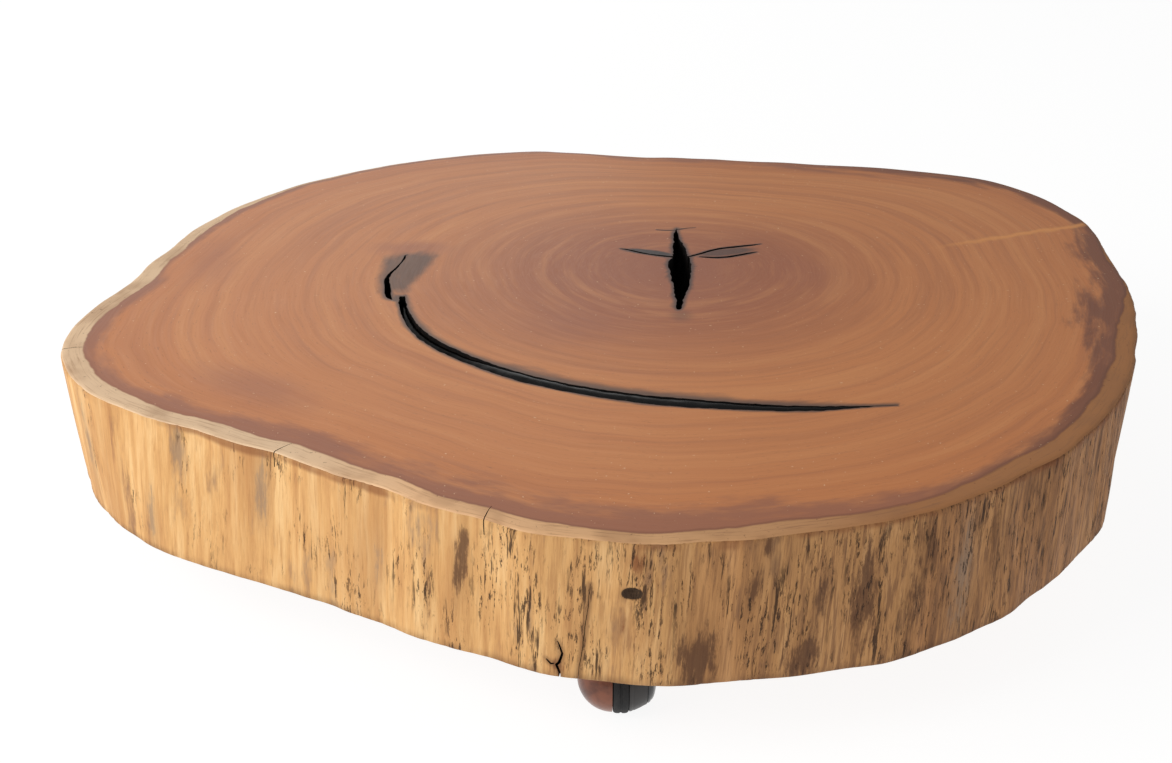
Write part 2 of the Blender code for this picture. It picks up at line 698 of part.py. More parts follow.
def main():
    """Build the whole table."""
    clear_scene()
    table = bpy.data.collections.new("wood_slice_table")
    cutters = bpy.data.collections.new("cutters")
    for collection in (table, cutters):
        bpy.context.scene.collection.children.link(collection)
    slice_object = slice_body(table)
    cut_splits(slice_object, cutters)
    cut_pilot_holes(slice_object, cutters)
    shake_resin(table)
    build_casters(table, cutters)
    bpy.context.view_layer.update()
    smooth_round_pieces(table)


if __name__ == "__main__":
    main()
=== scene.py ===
"""The looks of a low table: a thick slice of a hardwood trunk that stands on four ball casters.

The slice gets a fine mesh with a fibrous live edge, open splits and growth rings round its pith. The split
along one ring holds black resin. Each caster gets a polished hood, a rubber tyre, a grey hub and a cap.
"""

from __future__ import annotations

import json
import logging
from contextlib import contextmanager
from dataclasses import dataclass
from enum import Enum
from math import atan2, cos, pi, radians, sin
from typing import Iterable, Iterator, NamedTuple, Sequence

import bmesh
import bpy
import numpy as np
from mathutils import Matrix, Vector, noise
from mathutils.bvhtree import BVHTree

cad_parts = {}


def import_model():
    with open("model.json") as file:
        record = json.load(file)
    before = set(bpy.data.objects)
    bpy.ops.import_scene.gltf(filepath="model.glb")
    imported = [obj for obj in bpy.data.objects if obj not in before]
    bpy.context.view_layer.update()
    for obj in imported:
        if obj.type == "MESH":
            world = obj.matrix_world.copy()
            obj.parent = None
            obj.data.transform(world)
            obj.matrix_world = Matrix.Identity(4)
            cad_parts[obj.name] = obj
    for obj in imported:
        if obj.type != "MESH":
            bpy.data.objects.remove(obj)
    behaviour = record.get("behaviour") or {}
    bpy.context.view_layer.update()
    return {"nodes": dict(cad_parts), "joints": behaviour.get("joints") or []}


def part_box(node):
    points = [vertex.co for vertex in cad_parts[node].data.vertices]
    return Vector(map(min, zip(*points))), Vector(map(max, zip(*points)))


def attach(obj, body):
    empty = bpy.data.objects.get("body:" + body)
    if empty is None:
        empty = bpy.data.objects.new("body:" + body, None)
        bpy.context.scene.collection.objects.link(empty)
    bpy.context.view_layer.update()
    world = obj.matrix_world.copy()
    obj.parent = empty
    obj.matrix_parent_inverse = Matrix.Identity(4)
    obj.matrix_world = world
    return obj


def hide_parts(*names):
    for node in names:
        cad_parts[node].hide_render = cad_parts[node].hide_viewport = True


LOG = logging.getLogger("wood_slice_table")
MM = 0.001
WALL_REACH = 0.47
FAR = 4.0

Colour = tuple[float, float, float, float]
Point = tuple[float, float]
Socket = bpy.types.NodeSocket
Thing = bpy.types.Object


class Slot(str, Enum):
    """Material slots of the record."""

    WOOD = "wood"
    RESIN = "resin"
    ZINC = "zinc"
    HOOD = "caster_hood"
    TREAD = "rubber_tread"
    HUB = "caster_hub"
    CAP = "end_cap"


class Face(int, Enum):
    """Which finish a face of the slice has, as its place in the slice's list of materials."""

    TOP = 0
    SIDE = 1
    UNDERSIDE = 2
    SPLIT = 3


def tint(red: int, green: int, blue: int) -> Colour:
    """A linear colour from display values of 0 to 255."""
    return tuple([((value / 255) ** 2.2) for value in (red, green, blue)] + [1.0])


class Spot(NamedTuple):
    """A soft ellipse on a flat surface: middle and half sizes in millimetres, turn in degrees, strength."""

    x: float
    y: float
    wide: float
    tall: float
    turn: float
    amount: float
    soft: float


def wall_spots(*rows: tuple[float, ...], soft: float = 1.0) -> list[Spot]:
    """Spots on the live edge, from (degrees round, mm above its base, half sizes, lean, strength)."""
    return [
        Spot((radians(angle) - 2 * pi) * WALL_REACH / MM, height, wide, tall, -lean, amount, soft)
        for angle, height, wide, tall, lean, amount in rows
    ]


# Materials.


class Recipe:
    """A node-based material while it is being put together."""

    def __init__(self, name: str) -> None:
        """Start from a new material with its Principled shader and the point's place in metres."""
        self.material = bpy.data.materials.new(name)
        self.material.use_nodes = True
        self.tree = self.material.node_tree
        self.shader = self.tree.nodes["Principled BSDF"]
        self.place = self.add("ShaderNodeTexCoord").outputs["Object"]
        self.x, self.y, self.z = self.parts(self.place)

    def add(self, kind: str, *values: object, **settings: object) -> bpy.types.Node:
        """Add a node, set its properties and feed its first inputs."""
        node = self.tree.nodes.new(kind)
        for name, value in settings.items():
            setattr(node, name, value)
        for socket, value in zip(node.inputs, values):
            self.feed(socket, value)
        return node

    def feed(self, socket: Socket, value: object) -> None:
        """Link a socket to another one, or set its value."""
        if isinstance(value, bpy.types.NodeSocket):
            self.tree.links.new(value, socket)
        else:
            socket.default_value = value

    def measure(self, name: str) -> Socket:
        """A number that the mesh holds at each of its points."""
        return self.add("ShaderNodeAttribute", attribute_name=name).outputs["Fac"]

    def parts(self, vector: Socket) -> list[Socket]:
        """The X, Y and Z of a vector."""
        return list(self.add("ShaderNodeSeparateXYZ", vector).outputs)

    def join(self, x: object, y: object, z: object) -> Socket:
        """A vector from its X, Y and Z."""
        return self.add("ShaderNodeCombineXYZ", x, y, z).outputs[0]

    def vector(self, operation: str, *values: object) -> Socket:
        """A vector sum, product or unit vector."""
        return self.add("ShaderNodeVectorMath", *values, operation=operation).outputs[0]

    def calc(self, operation: str, first: object, second: object = 0.0) -> Socket:
        """Arithmetic on one or two numbers."""
        return self.add("ShaderNodeMath", first, second, operation=operation).outputs[0]

    def plus(self, first: object, second: object) -> Socket:
        """A sum."""
        return self.calc("ADD", first, second)

    def minus(self, first: object, second: object) -> Socket:
        """A difference."""
        return self.calc("SUBTRACT", first, second)

    def times(self, first: object, second: object) -> Socket:
        """A product."""
        return self.calc("MULTIPLY", first, second)

    def noise(self, vector: object, scale: float, detail: float = 3.0, roughness: float = 0.55) -> Socket:
        """Smooth noise from 0 to 1, with about scale features a metre of the vector."""
        node = self.add("ShaderNodeTexNoise")
        inputs = {"Vector": vector, "Scale": scale, "Detail": detail, "Roughness": roughness}
        for name, value in inputs.items():
            self.feed(node.inputs[name], value)
        return node.outputs["Fac"]

    def level(self, value: object, low: float, high: float, start: float = 0.0, end: float = 1.0) -> Socket:
        """A value eased from start to end as it goes from low to high."""
        limits = (value, low, high, start, end)
        return self.add("ShaderNodeMapRange", *limits, interpolation_type="SMOOTHSTEP").outputs[0]

    def sway(self, value: object, spread: float, low: float = 0.3) -> Socket:
        """Noise stretched to go from minus the spread to the spread."""
        return self.level(value, low, 1.0 - low, -spread, spread)

    def blend(self, share: object, first: object, second: object) -> Socket:
        """One colour laid over another by a share."""
        node = self.add("ShaderNodeMix", share, data_type="RGBA", blend_type="MIX", clamp_factor=True)
        self.feed(node.inputs[6], first)
        self.feed(node.inputs[7], second)
        return node.outputs[2]

    def lay(self, under: object, over: object, value: object, low: float, high: float, most: float) -> Socket:
        """Lay a colour over another where a value goes from low to high, up to this share."""
        return self.blend(self.level(value, low, high, 0.0, most), under, over)

    def ramp(self, value: object, *stops: tuple[float, Colour]) -> Socket:
        """A colour read from (position, colour) stops."""
        node = self.add("ShaderNodeValToRGB", value)
        elements = node.color_ramp.elements
        for position, _ in stops[2:]:
            elements.new(position)
        for element, (position, colour) in zip(elements, stops):
            element.position = position
            element.color = colour
        return node.outputs[0]

    def strongest(self, flat: Socket, spots: Sequence[Spot]) -> Socket:
        """The share of whichever spot shows most at a place on the flat surface."""
        shares = []
        for spot in spots:
            mapping = self.add("ShaderNodeMapping", flat, vector_type="TEXTURE")
            mapping.inputs["Location"].default_value = (spot.x * MM, spot.y * MM, 0.0)
            mapping.inputs["Rotation"].default_value = (0.0, 0.0, radians(spot.turn))
            mapping.inputs["Scale"].default_value = (spot.wide * MM, spot.tall * MM, 1.0)
            far = self.add("ShaderNodeVectorMath", mapping.outputs[0], operation="LENGTH").outputs["Value"]
            shares.append(self.level(far, 1.0, 1.0 - spot.soft, 0.0, spot.amount))
        total = shares[0]
        for share in shares[1:]:
            total = self.calc("MAXIMUM", total, share)
        return total

    def relief(self, height: object, depth: float, strength: float = 1.0) -> None:
        """Raise and sink the surface by this height times a depth in metres."""
        node = self.add("ShaderNodeBump")
        for name, value in (("Strength", strength), ("Distance", depth), ("Height", height)):
            self.feed(node.inputs[name], value)
        self.feed(self.shader.inputs["Normal"], node.outputs["Normal"])

    def finish(self, colour: object, roughness: object, **others: object) -> bpy.types.Material:
        """Set the shader's sockets and give the material."""
        self.feed(self.shader.inputs["Base Color"], colour)
        self.feed(self.shader.inputs["Roughness"], roughness)
        for name, value in others.items():
            self.feed(self.shader.inputs[name.replace("_", " ").title().replace("Ior", "IOR")], value)
        return self.material


class OiledTop(Recipe):
    """Sanded and oiled end grain: growth rings round the pith, dark blotches near the bark, a sapwood rim."""

    heart, inner = tint(164, 104, 80), tint(174, 108, 76)
    middle, outer = tint(208, 134, 84), tint(204, 128, 78)
    blotch, soft_blotch = tint(122, 78, 62), tint(160, 104, 80)
    late_wood, early_wood = tint(164, 102, 72), tint(228, 158, 102)
    smoke, plum, ray = tint(66, 64, 64), tint(158, 98, 78), tint(232, 158, 92)
    rim_left, rim_warm = tint(237, 202, 164), tint(246, 196, 148)
    rim_front, rim_right = tint(222, 172, 124), tint(172, 118, 76)
    rim_fibre, rim_line = tint(150, 106, 74), tint(98, 62, 46)
    streak = ((0.320, 0.1145), (0.5275, 0.1975))
    smoke_spots = (
        Spot(31.0, 107.5, 39.0, 10.5, -19.0, 0.96, 0.45), Spot(112.0, 109.0, 43.0, 12.5, 16.0, 0.74, 0.45),
        Spot(55.0, -62.0, 17.0, 22.0, 0.0, 0.40, 0.9), Spot(64.0, 179.0, 30.0, 6.0, 8.0, 0.22, 0.9),
    )
    plum_spots = (
        Spot(-226.0, 120.0, 62.0, 34.0, 0.0, 0.60, 0.9), Spot(-50.0, -80.0, 85.0, 75.0, 20.0, 0.45, 0.9),
        Spot(190.0, 50.0, 60.0, 90.0, 10.0, 0.30, 0.9), Spot(-330.0, -220.0, 110.0, 45.0, -35.0, 0.55, 0.9),
        Spot(-430.0, 80.0, 40.0, 110.0, 8.0, 0.30, 0.9),
    )

    def __init__(self, pith: Point) -> None:
        """Start from the place of the pith and what the mesh holds."""
        super().__init__("oiled_end_grain")
        self.ring = self.measure("ring_radius")
        self.age = self.measure("age")
        self.rim = self.measure("rim_inside")
        flat = self.vector("MULTIPLY", self.place, (1.0, 1.0, 0.0))
        self.outward = self.vector("NORMALIZE", self.vector("SUBTRACT", flat, (pith[0], pith[1], 0.0)))

    def ringed(self, ring: Socket, around: float, across: float, *detail: float) -> Socket:
        """Noise that runs round the pith: features per radian round it and per metre of ring radius."""
        x, y, _ = self.parts(self.vector("MULTIPLY", self.outward, (around, around, 0.0)))
        return self.noise(self.join(x, y, self.times(ring, across)), 1.0, *detail)

    def light_streak(self) -> Socket:
        """The pale ray that runs out to the rim on the right: 1 on its middle, 0 beside it."""
        (x0, y0), (x1, y1) = self.streak
        mapping = self.add("ShaderNodeMapping", self.place, vector_type="TEXTURE")
        mapping.inputs["Location"].default_value = (x0, y0, 0.0)
        mapping.inputs["Rotation"].default_value = (0.0, 0.0, atan2(y1 - y0, x1 - x0))
        along, beside, _ = self.parts(mapping.outputs[0])
        wavy = self.plus(beside, self.sway(self.noise(self.place, 40.0), 2.5 * MM))
        across = self.level(self.calc("ABSOLUTE", wavy), 0.5 * MM, 8.0 * MM, 1.0, 0.0)
        return self.times(across, self.level(along, 0.0, 0.10))

    def rings(self, colour: Socket) -> tuple[Socket, Socket]:
        """Lay broad, medium and fine growth rings over a colour, and give the fine ones for the relief."""
        wavy = self.plus(self.ring, self.sway(self.noise(self.place, 5.0, 2.0), 5 * MM, 0.2))
        broad = self.ringed(wavy, 0.7, 52.0, 2.0)
        medium = self.ringed(wavy, 1.9, 150.0, 3.0)
        fine = self.ringed(wavy, 7.0, 700.0, 2.0)
        fade = self.level(self.age, 0.04, 0.22)
        for value, low, high, share, paint in (
            (broad, 0.50, 0.68, 0.26, self.early_wood), (broad, 0.50, 0.34, 0.26, self.late_wood),
            (medium, 0.52, 0.70, 0.17, self.early_wood), (medium, 0.48, 0.30, 0.22, self.late_wood),
            (fine, 0.54, 0.76, 0.13, self.late_wood), (fine, 0.44, 0.26, 0.10, self.early_wood),
        ):
            amount = self.level(value, low, high, 0.0, share)
            if paint is self.early_wood:
                amount = self.times(amount, fade)
            colour = self.blend(amount, colour, paint)
        return colour, fine

    def ragged(self, scale: float, reach: float) -> Socket:
        """The point's place pushed to and fro, which makes the edge of a spot ragged."""
        node = self.add("ShaderNodeTexNoise")
        for name, value in (("Vector", self.place), ("Scale", scale), ("Detail", 3.0)):
            self.feed(node.inputs[name], value)
        centred = self.vector("SUBTRACT", node.outputs["Color"], (0.5, 0.5, 0.5))
        push = self.vector("MULTIPLY", centred, (2.0 * reach, 2.0 * reach, 0.0))
        return self.vector("ADD", self.place, push)

    def build(self) -> bpy.types.Material:
        """Put the finish together."""
        middle = ((0.52, self.middle), (0.80, self.middle))
        colour = self.ramp(self.age, (0.0, self.heart), (0.24, self.inner), *middle, (1.0, self.outer))
        colour, fine = self.rings(colour)
        cloud = self.ringed(self.ring, 5.0, 42.0, 4.0, 0.62)
        shade = self.plus(self.measure("bark_shade"), self.sway(cloud, 0.42))
        dark = self.blend(self.level(self.x, 0.15, 0.42), self.soft_blotch, self.blotch)
        colour = self.lay(colour, dark, shade, 1.15, 0.25, 0.88)
        colour = self.blend(self.strongest(self.ragged(45.0, 9 * MM), self.plum_spots), colour, self.plum)
        pores = self.ringed(self.ring, 60.0, 1500.0, 1.0)
        colour = self.lay(colour, self.blotch, pores, 0.64, 0.78, 0.34)
        colour = self.lay(colour, self.rim_left, self.noise(self.place, 330.0, 1.0), 0.745, 0.80, 0.7)
        colour = self.blend(self.smoked(cloud), colour, self.smoke)
        colour = self.blend(self.times(self.light_streak(), 0.80), colour, self.ray)
        rim_colour, rim_share, line = self.sapwood()
        colour = self.blend(rim_share, colour, rim_colour)
        colour = self.blend(line, colour, self.rim_line)
        rough = self.blend(rim_share, self.level(fine, 0.3, 0.7, 0.38, 0.46), (0.66, 0.66, 0.66, 1.0))
        self.relief(self.plus(self.times(pores, 0.5), self.times(fine, 0.5)), 0.10 * MM, 0.5)
        return self.finish(colour, rough, specular_ior_level=0.32)

    def smoked(self, cloud: Socket) -> Socket:
        """How much soot and smoke there is, beside the splits and in the grey patch at the left."""
        uneven = self.times(self.measure("scorch"), self.level(cloud, 0.3, 0.7, 0.7, 1.5))
        patch = self.plus(self.measure("smoke_edge"), self.sway(cloud, 0.2))
        smoke = self.strongest(self.ragged(110.0, 2.2 * MM), self.smoke_spots)
        for edge, most in ((uneven, 0.84), (patch, 0.78)):
            smoke = self.calc("MAXIMUM", smoke, self.level(edge, 1.0, 0.0, 0.0, most))
        return smoke

    def sapwood(self) -> tuple[Socket, Socket, Socket]:
        """The pale rim: its colour, where it is, and the share of the dark line along its inner side."""
        inside = self.plus(self.rim, self.sway(self.noise(self.place, 16.0, 4.0), 2.0 * MM))
        share = self.level(inside, 1.2 * MM, -0.8 * MM)
        beside = self.calc("ABSOLUTE", self.minus(inside, 1.2 * MM))
        strength = self.level(self.x, -0.40, 0.10, 0.10, 0.34)
        line = self.times(self.level(beside, 0.2 * MM, 3.0 * MM, 1.0, 0.0), strength)
        # The rim's colour runs from pale on the left to dark brown on the right: partly the sapwood's own
        # tone, partly painted shade on the right, away from the light.
        colour = self.ramp(
            self.level(self.x, -0.46, 0.46), (0.0, self.rim_left), (0.10, self.rim_left),
            (0.24, self.rim_warm), (0.50, self.rim_front), (0.82, self.rim_right), (1.0, self.rim_right),
        )
        colour = self.lay(colour, self.rim_fibre, self.noise(self.place, 17.0, 3.0), 0.44, 0.66, 0.35)
        around = self.ringed(self.rim, 14.0, 480.0, 4.0, 0.65)
        fibres = self.times(self.level(around, 0.50, 0.70), self.level(self.x, -0.30, 0.15, 0.40, 0.66))
        colour = self.blend(fibres, colour, self.rim_fibre)
        colour = self.lay(colour, self.rim_line, self.noise(self.place, 240.0, 3.0, 0.7), 0.64, 0.72, 0.55)
        return colour, share, line


class DebarkedSide(Recipe):
    """The live edge without its bark: pale fibres that run up the trunk, with stains and dark dashes."""

    lean = 0.05
    cream, straw, tan = tint(238, 194, 136), tint(222, 170, 110), tint(188, 134, 84)
    # These browner tints, laid on the right of the live edge, are partly worn wood and partly painted shade
    # for the side that faces away from the light.
    worn_pale, worn_mid, worn_dark = tint(192, 136, 88), tint(166, 116, 74), tint(122, 86, 60)
    grey, umber, rust = tint(138, 120, 104), tint(92, 62, 44), tint(128, 76, 46)
    plum, ink, pit = tint(112, 82, 74), tint(52, 34, 24), tint(58, 44, 32)
    knot_pit = wall_spots((269.6, 85.7, 10.5, 6.4, -6.0, 1.0), soft=0.35)
    knot_stain = wall_spots(
        (269.7, 86.0, 19.0, 12.0, 0.0, 0.55), (269.8, 111.0, 15.0, 24.0, 3.0, 0.85),
        (269.2, 50.0, 24.0, 36.0, 0.0, 0.62), (262.7, 12.5, 14.0, 20.0, 0.0, 0.80),
    )
    grey_stains = wall_spots(
        (227.7, 90.0, 16.0, 62.0, 2.0, 0.80), (203.6, 70.0, 15.0, 100.0, -2.0, 0.62),
        (214.0, 30.0, 12.0, 55.0, 0.0, 0.66), (301.8, 65.0, 22.0, 110.0, 4.0, 0.76),
        (242.5, 55.0, 12.0, 60.0, 4.0, 0.60),
    )
    dark_stains = wall_spots(
        (252.9, 85.0, 13.0, 74.0, 8.0, 0.85), (249.0, 50.0, 10.0, 64.0, 5.0, 0.62),
        (270.2, 115.0, 9.0, 17.0, 3.0, 0.55), (280.6, 86.0, 15.0, 46.0, 10.0, 0.86),
        (281.6, 118.0, 9.0, 26.0, 2.0, 0.80), (275.6, 24.0, 32.0, 58.0, 4.0, 1.0),
        (285.3, 20.0, 30.0, 44.0, 8.0, 0.92), (286.8, 70.0, 14.0, 72.0, 7.0, 0.78),
        (291.0, 65.0, 26.0, 96.0, 3.0, 0.86), (296.5, 65.0, 18.0, 84.0, 4.0, 0.68),
        (306.5, 70.0, 18.0, 76.0, 4.0, 0.62), (313.5, 50.0, 18.0, 84.0, 2.0, 0.62),
    )

    def __init__(self, base: float, top: float) -> None:
        """Start from the heights between which the live edge runs."""
        super().__init__("debarked_side")
        self.base, self.top = base, top
        # Share of the right side, where the live edge turns browner: partly worn wood, partly painted shade.
        self.right = self.level(self.x, -0.16, 0.26)
        self.strands = self.drawn(13.0, 1.7, 95.0, 5.0, 0.66)

    def drawn(self, tall: float, shift: float, *grain: float) -> Socket:
        """Noise that is drawn out up the trunk and leans a little."""
        leaning = self.minus(self.x, self.times(self.z, self.lean))
        place = self.join(self.plus(leaning, shift), self.y, self.times(self.z, 1.0 / tall))
        return self.noise(place, *grain)

    def unrolled(self, fray: object) -> Socket:
        """The live edge laid out flat: metres round it and up it, with ragged fibres."""
        around = self.times(self.calc("ARCTAN2", self.y, self.x), WALL_REACH)
        push = self.times(self.minus(fray, 0.5), 34 * MM)
        return self.join(around, self.plus(self.minus(self.z, self.base), push), 0.0)

    def build(self) -> bpy.types.Material:
        """Put the finish together."""
        broad = self.drawn(7.0, 0.0, 16.0, 3.0)
        hairs = self.drawn(22.0, 3.1, 430.0, 3.0, 0.62)
        pale = self.ramp(self.strands, (0.30, self.cream), (0.50, self.straw), (0.74, self.tan))
        # The browner ramp and darker hairs on the right are partly worn wood and partly painted shade.
        brown = self.ramp(self.strands, (0.30, self.worn_pale), (0.50, self.worn_mid), (0.70, self.worn_dark))
        colour = self.lay(pale, self.tan, broad, 0.46, 0.66, 0.6)
        colour = self.blend(self.times(self.right, self.level(broad, 0.25, 0.60, 0.70, 1.0)), colour, brown)
        colour = self.lay(colour, self.tan, hairs, 0.50, 0.72, 0.55)
        worn_and_shaded_hairs = self.times(self.right, self.level(hairs, 0.48, 0.62, 0.0, 0.75))
        colour = self.blend(worn_and_shaded_hairs, colour, self.worn_dark)
        colour, worn = self.stained(colour)
        dashed = self.dashes()
        colour = self.blend(dashed, colour, self.ink)
        uneven = self.plus(self.z, self.sway(broad, 2 * MM))
        edge_line = self.level(uneven, self.top - 9 * MM, self.top - 4 * MM)
        edge_share = self.level(self.noise(self.place, 13.0, 3.0), 0.42, 0.60, 0.05, 0.65)
        colour = self.blend(self.times(edge_line, edge_share), colour, self.rust)
        foot = self.level(self.z, self.base + 10 * MM, self.base + 1 * MM, 0.0, 0.55)
        colour = self.blend(self.times(foot, self.level(worn, 0.35, 0.6, 0.2, 1.0)), colour, self.umber)
        colour = self.lay(colour, self.umber, self.measure("crack_gap"), 1.0, 0.0, 0.6)
        height = self.plus(self.times(self.strands, 0.7), self.times(hairs, 0.3))
        self.relief(self.minus(height, self.times(dashed, 0.6)), 1.2 * MM, 0.8)
        return self.finish(colour, self.level(worn, 0.3, 0.7, 0.62, 0.78), specular_ior_level=0.25)

    def dashes(self) -> Socket:
        """Short and long dark dashes between the fibres, in crowds."""
        crowd = self.plus(self.drawn(2.4, 15.9, 30.0, 4.0, 0.6), self.level(self.x, -0.40, 0.15, -0.09, 0.08))
        short = self.level(self.drawn(6.0, 12.7, 330.0, 4.0, 0.74), 0.56, 0.63)
        long = self.level(self.drawn(15.0, 21.3, 210.0, 4.0, 0.72), 0.58, 0.65)
        return self.times(self.calc("MAXIMUM", short, long), self.level(crowd, 0.46, 0.62, 0.06, 0.88))

    def stained(self, colour: Socket) -> tuple[Socket, Socket]:
        """Lay grey, brown and plum stains over the fibres.

        Args:
            colour: The colour under them.

        Returns:
            The stained colour, and the noise of the wear.
        """
        frayed = self.times(self.minus(self.strands, 0.5), 0.36)
        worn = self.plus(self.drawn(3.2, 5.3, 22.0, 5.0, 0.66), frayed)
        # Towards the right the wear is a little stronger and its stains turn umber: partly real wear, partly
        # painted shade.
        worn = self.plus(worn, self.times(self.right, 0.03))
        plum_share = self.level(self.drawn(4.0, 9.1, 13.0, 2.0), 0.42, 0.60)
        paint = self.blend(self.right, self.blend(plum_share, self.grey, self.plum), self.umber)
        colour = self.lay(colour, paint, worn, 0.56, 0.72, 0.62)
        fine = self.times(self.minus(self.drawn(8.0, 27.1, 330.0, 5.0, 0.75), 0.5), 1.5)
        patches = self.times(self.minus(self.drawn(2.6, 33.3, 70.0, 4.0, 0.68), 0.5), 1.2)
        grain = self.plus(fine, patches)
        ragged, upright = self.unrolled(self.strands), self.unrolled(0.5)
        for spots, flat, paint, wash, streaks in (
            (self.grey_stains, ragged, self.grey, 0.50, 0.50),
            (self.dark_stains, ragged, self.umber, 0.42, 0.82),
            (self.knot_stain, ragged, self.rust, 0.46, 0.66),
            (self.knot_pit, upright, self.pit, 0.70, 0.95),
        ):
            share = self.strongest(flat, spots)
            colour = self.blend(self.times(share, wash), colour, self.blend(0.35, paint, self.tan))
            colour = self.lay(colour, paint, self.plus(grain, share), 0.46, 0.82, streaks)
        return colour, worn


class SawnUnderside(Recipe):
    """Rough end grain under the slice, with the marks of the saw."""

    heart, pale, dark = tint(150, 108, 82), tint(196, 158, 120), tint(104, 72, 54)

    def build(self) -> bpy.types.Material:
        """Put the finish together."""
        wobble = self.sway(self.noise(self.place, 5.0, 2.0), 9 * MM, 0.2)
        wavy = self.plus(self.measure("ring_radius"), wobble)
        rings = self.noise(self.join(0.0, 0.0, self.times(wavy, 90.0)), 1.0, 3.0)
        colour = self.ramp(rings, (0.30, self.dark), (0.50, self.heart), (0.72, self.pale))
        cloud = self.noise(self.place, 9.0, 4.0)
        colour = self.blend(self.level(cloud, 0.35, 0.65, 0.2, 0.8), colour, self.heart)
        colour = self.lay(colour, self.pale, self.measure("rim_distance"), 21 * MM, 17 * MM, 0.85)
        bend = self.times(self.times(self.x, self.x), 0.30)
        saw_line = self.plus(self.plus(self.times(self.x, 0.35), self.y), bend)
        saw = self.noise(self.join(saw_line, 0.0, 0.0), 260.0, 3.0, 0.7)
        colour = self.lay(colour, self.dark, saw, 0.52, 0.72, 0.35)
        self.relief(saw, 0.9 * MM, 0.7)
        return self.finish(colour, 0.82, specular_ior_level=0.2)


class CharredWall(Recipe):
    """The black, crumbly walls inside the splits."""

    black, brown = tint(14, 10, 8), tint(46, 30, 22)

    def build(self) -> bpy.types.Material:
        """Put the finish together."""
        crumbs = self.noise(self.place, 240.0, 4.0, 0.65)
        colour = self.lay(self.black, self.brown, crumbs, 0.50, 0.78, 0.8)
        self.relief(crumbs, 1.2 * MM, 0.8)
        return self.finish(colour, self.level(crumbs, 0.3, 0.7, 0.55, 0.8), specular_ior_level=0.25)


class BlackResin(Recipe):
    """Glossy black resin, dull at its upper left end, with flow marks and a few dust specks."""

    black, dust = tint(9, 8, 8), tint(60, 54, 50)
    dull_end = (-0.165, -0.085)

    def build(self) -> bpy.types.Material:
        """Put the finish together."""
        flow = self.noise(self.place, 70.0, 3.0)
        colour = self.lay(self.black, self.dust, self.noise(self.place, 620.0, 1.0), 0.70, 0.78, 0.6)
        self.relief(flow, 0.8 * MM, 0.35)
        shine = self.level(self.x, *self.dull_end, 0.02, 0.20)
        return self.finish(colour, self.level(flow, 0.3, 0.7, 0.14, 0.30), specular_ior_level=shine)


@dataclass(frozen=True)
class Enamel:
    """A metal or plastic finish: worn a little, with fine scratches."""

    name: str
    colour: Colour
    worn: Colour
    roughness: float
    metallic: float
    coat: float = 0.0
    mottle: float = 40.0
    wear: float = 0.5
    grain: float = 0.05 * MM

    def build(self) -> bpy.types.Material:
        """Put the finish together."""
        recipe = Recipe(self.name)
        mottle = recipe.noise(recipe.place, self.mottle, 4.0)
        scratches = recipe.noise(recipe.vector("MULTIPLY", recipe.place, (1.0, 1.0, 5.0)), 900.0, 2.0)
        colour = recipe.lay(self.colour, self.worn, mottle, 0.42, 0.72, self.wear)
        rough = recipe.level(scratches, 0.3, 0.7, self.roughness * 0.85, self.roughness * 1.25)
        recipe.relief(scratches, self.grain, 0.4)
        return recipe.finish(
            colour, rough, metallic=self.metallic, coat_weight=self.coat, coat_roughness=0.12
        )


ENAMELS: dict[Slot, Enamel] = {
    # The hood's copper-brown is partly its own tone and partly painted shade: it is darkened for the shade it
    # lies in under the slice.
    Slot.HOOD: Enamel(
        "copper_hood", tint(128, 76, 54), tint(84, 48, 36), 0.34, 0.35, coat=0.3, mottle=60.0, wear=0.9
    ),
    Slot.TREAD: Enamel(
        "black_rubber", tint(26, 26, 27), tint(50, 48, 46), 0.70, 0.0, mottle=90.0, grain=0.15 * MM
    ),
    Slot.HUB: Enamel("grey_hub", tint(58, 56, 55), tint(40, 38, 38), 0.40, 0.25, mottle=70.0),
    Slot.CAP: Enamel("black_cap", tint(22, 22, 24), tint(40, 40, 42), 0.32, 0.0, coat=0.3, mottle=60.0),
    Slot.ZINC: Enamel("zinc_steel", tint(178, 178, 180), tint(140, 138, 134), 0.34, 1.0, mottle=120.0),
}


# Modelling helpers.


def deselect() -> None:
    """Leave edit mode and select nothing."""
    if bpy.context.object and bpy.context.object.mode != "OBJECT":
        bpy.ops.object.mode_set(mode="OBJECT")
    bpy.ops.object.select_all(action="DESELECT")


def take(*things: Thing) -> None:
    """Select these objects alone, the first one active."""
    deselect()
    for thing in things:
        thing.select_set(True)
    bpy.context.view_layer.objects.active = things[0]


def named(name: str) -> Thing:
    """Name the object that an operator has just added."""
    thing = bpy.context.object
    thing.name = name
    thing.data.name = name
    return thing


@contextmanager
def editing(action: str = "SELECT") -> Iterator[None]:
    """Work on the active object in edit mode, with everything selected or deselected first."""
    bpy.ops.object.mode_set(mode="EDIT")
    bpy.ops.mesh.select_all(action=action)
    yield
    bpy.ops.object.mode_set(mode="OBJECT")


def face_outward() -> None:
    """Turn every normal outward, in edit mode."""
    bpy.ops.mesh.select_all(action="SELECT")
    bpy.ops.mesh.normals_make_consistent(inside=False)


def points_of(thing: Thing) -> np.ndarray:
    """The object's points as rows of X, Y and Z."""
    found = np.empty(len(thing.data.vertices) * 3, np.float64)
    thing.data.vertices.foreach_get("co", found)
    return found.reshape(-1, 3)


def move_points(thing: Thing, points: np.ndarray) -> None:
    """Give the object's points these places."""
    thing.data.vertices.foreach_set("co", np.ascontiguousarray(points, np.float32).ravel())
    thing.data.update()


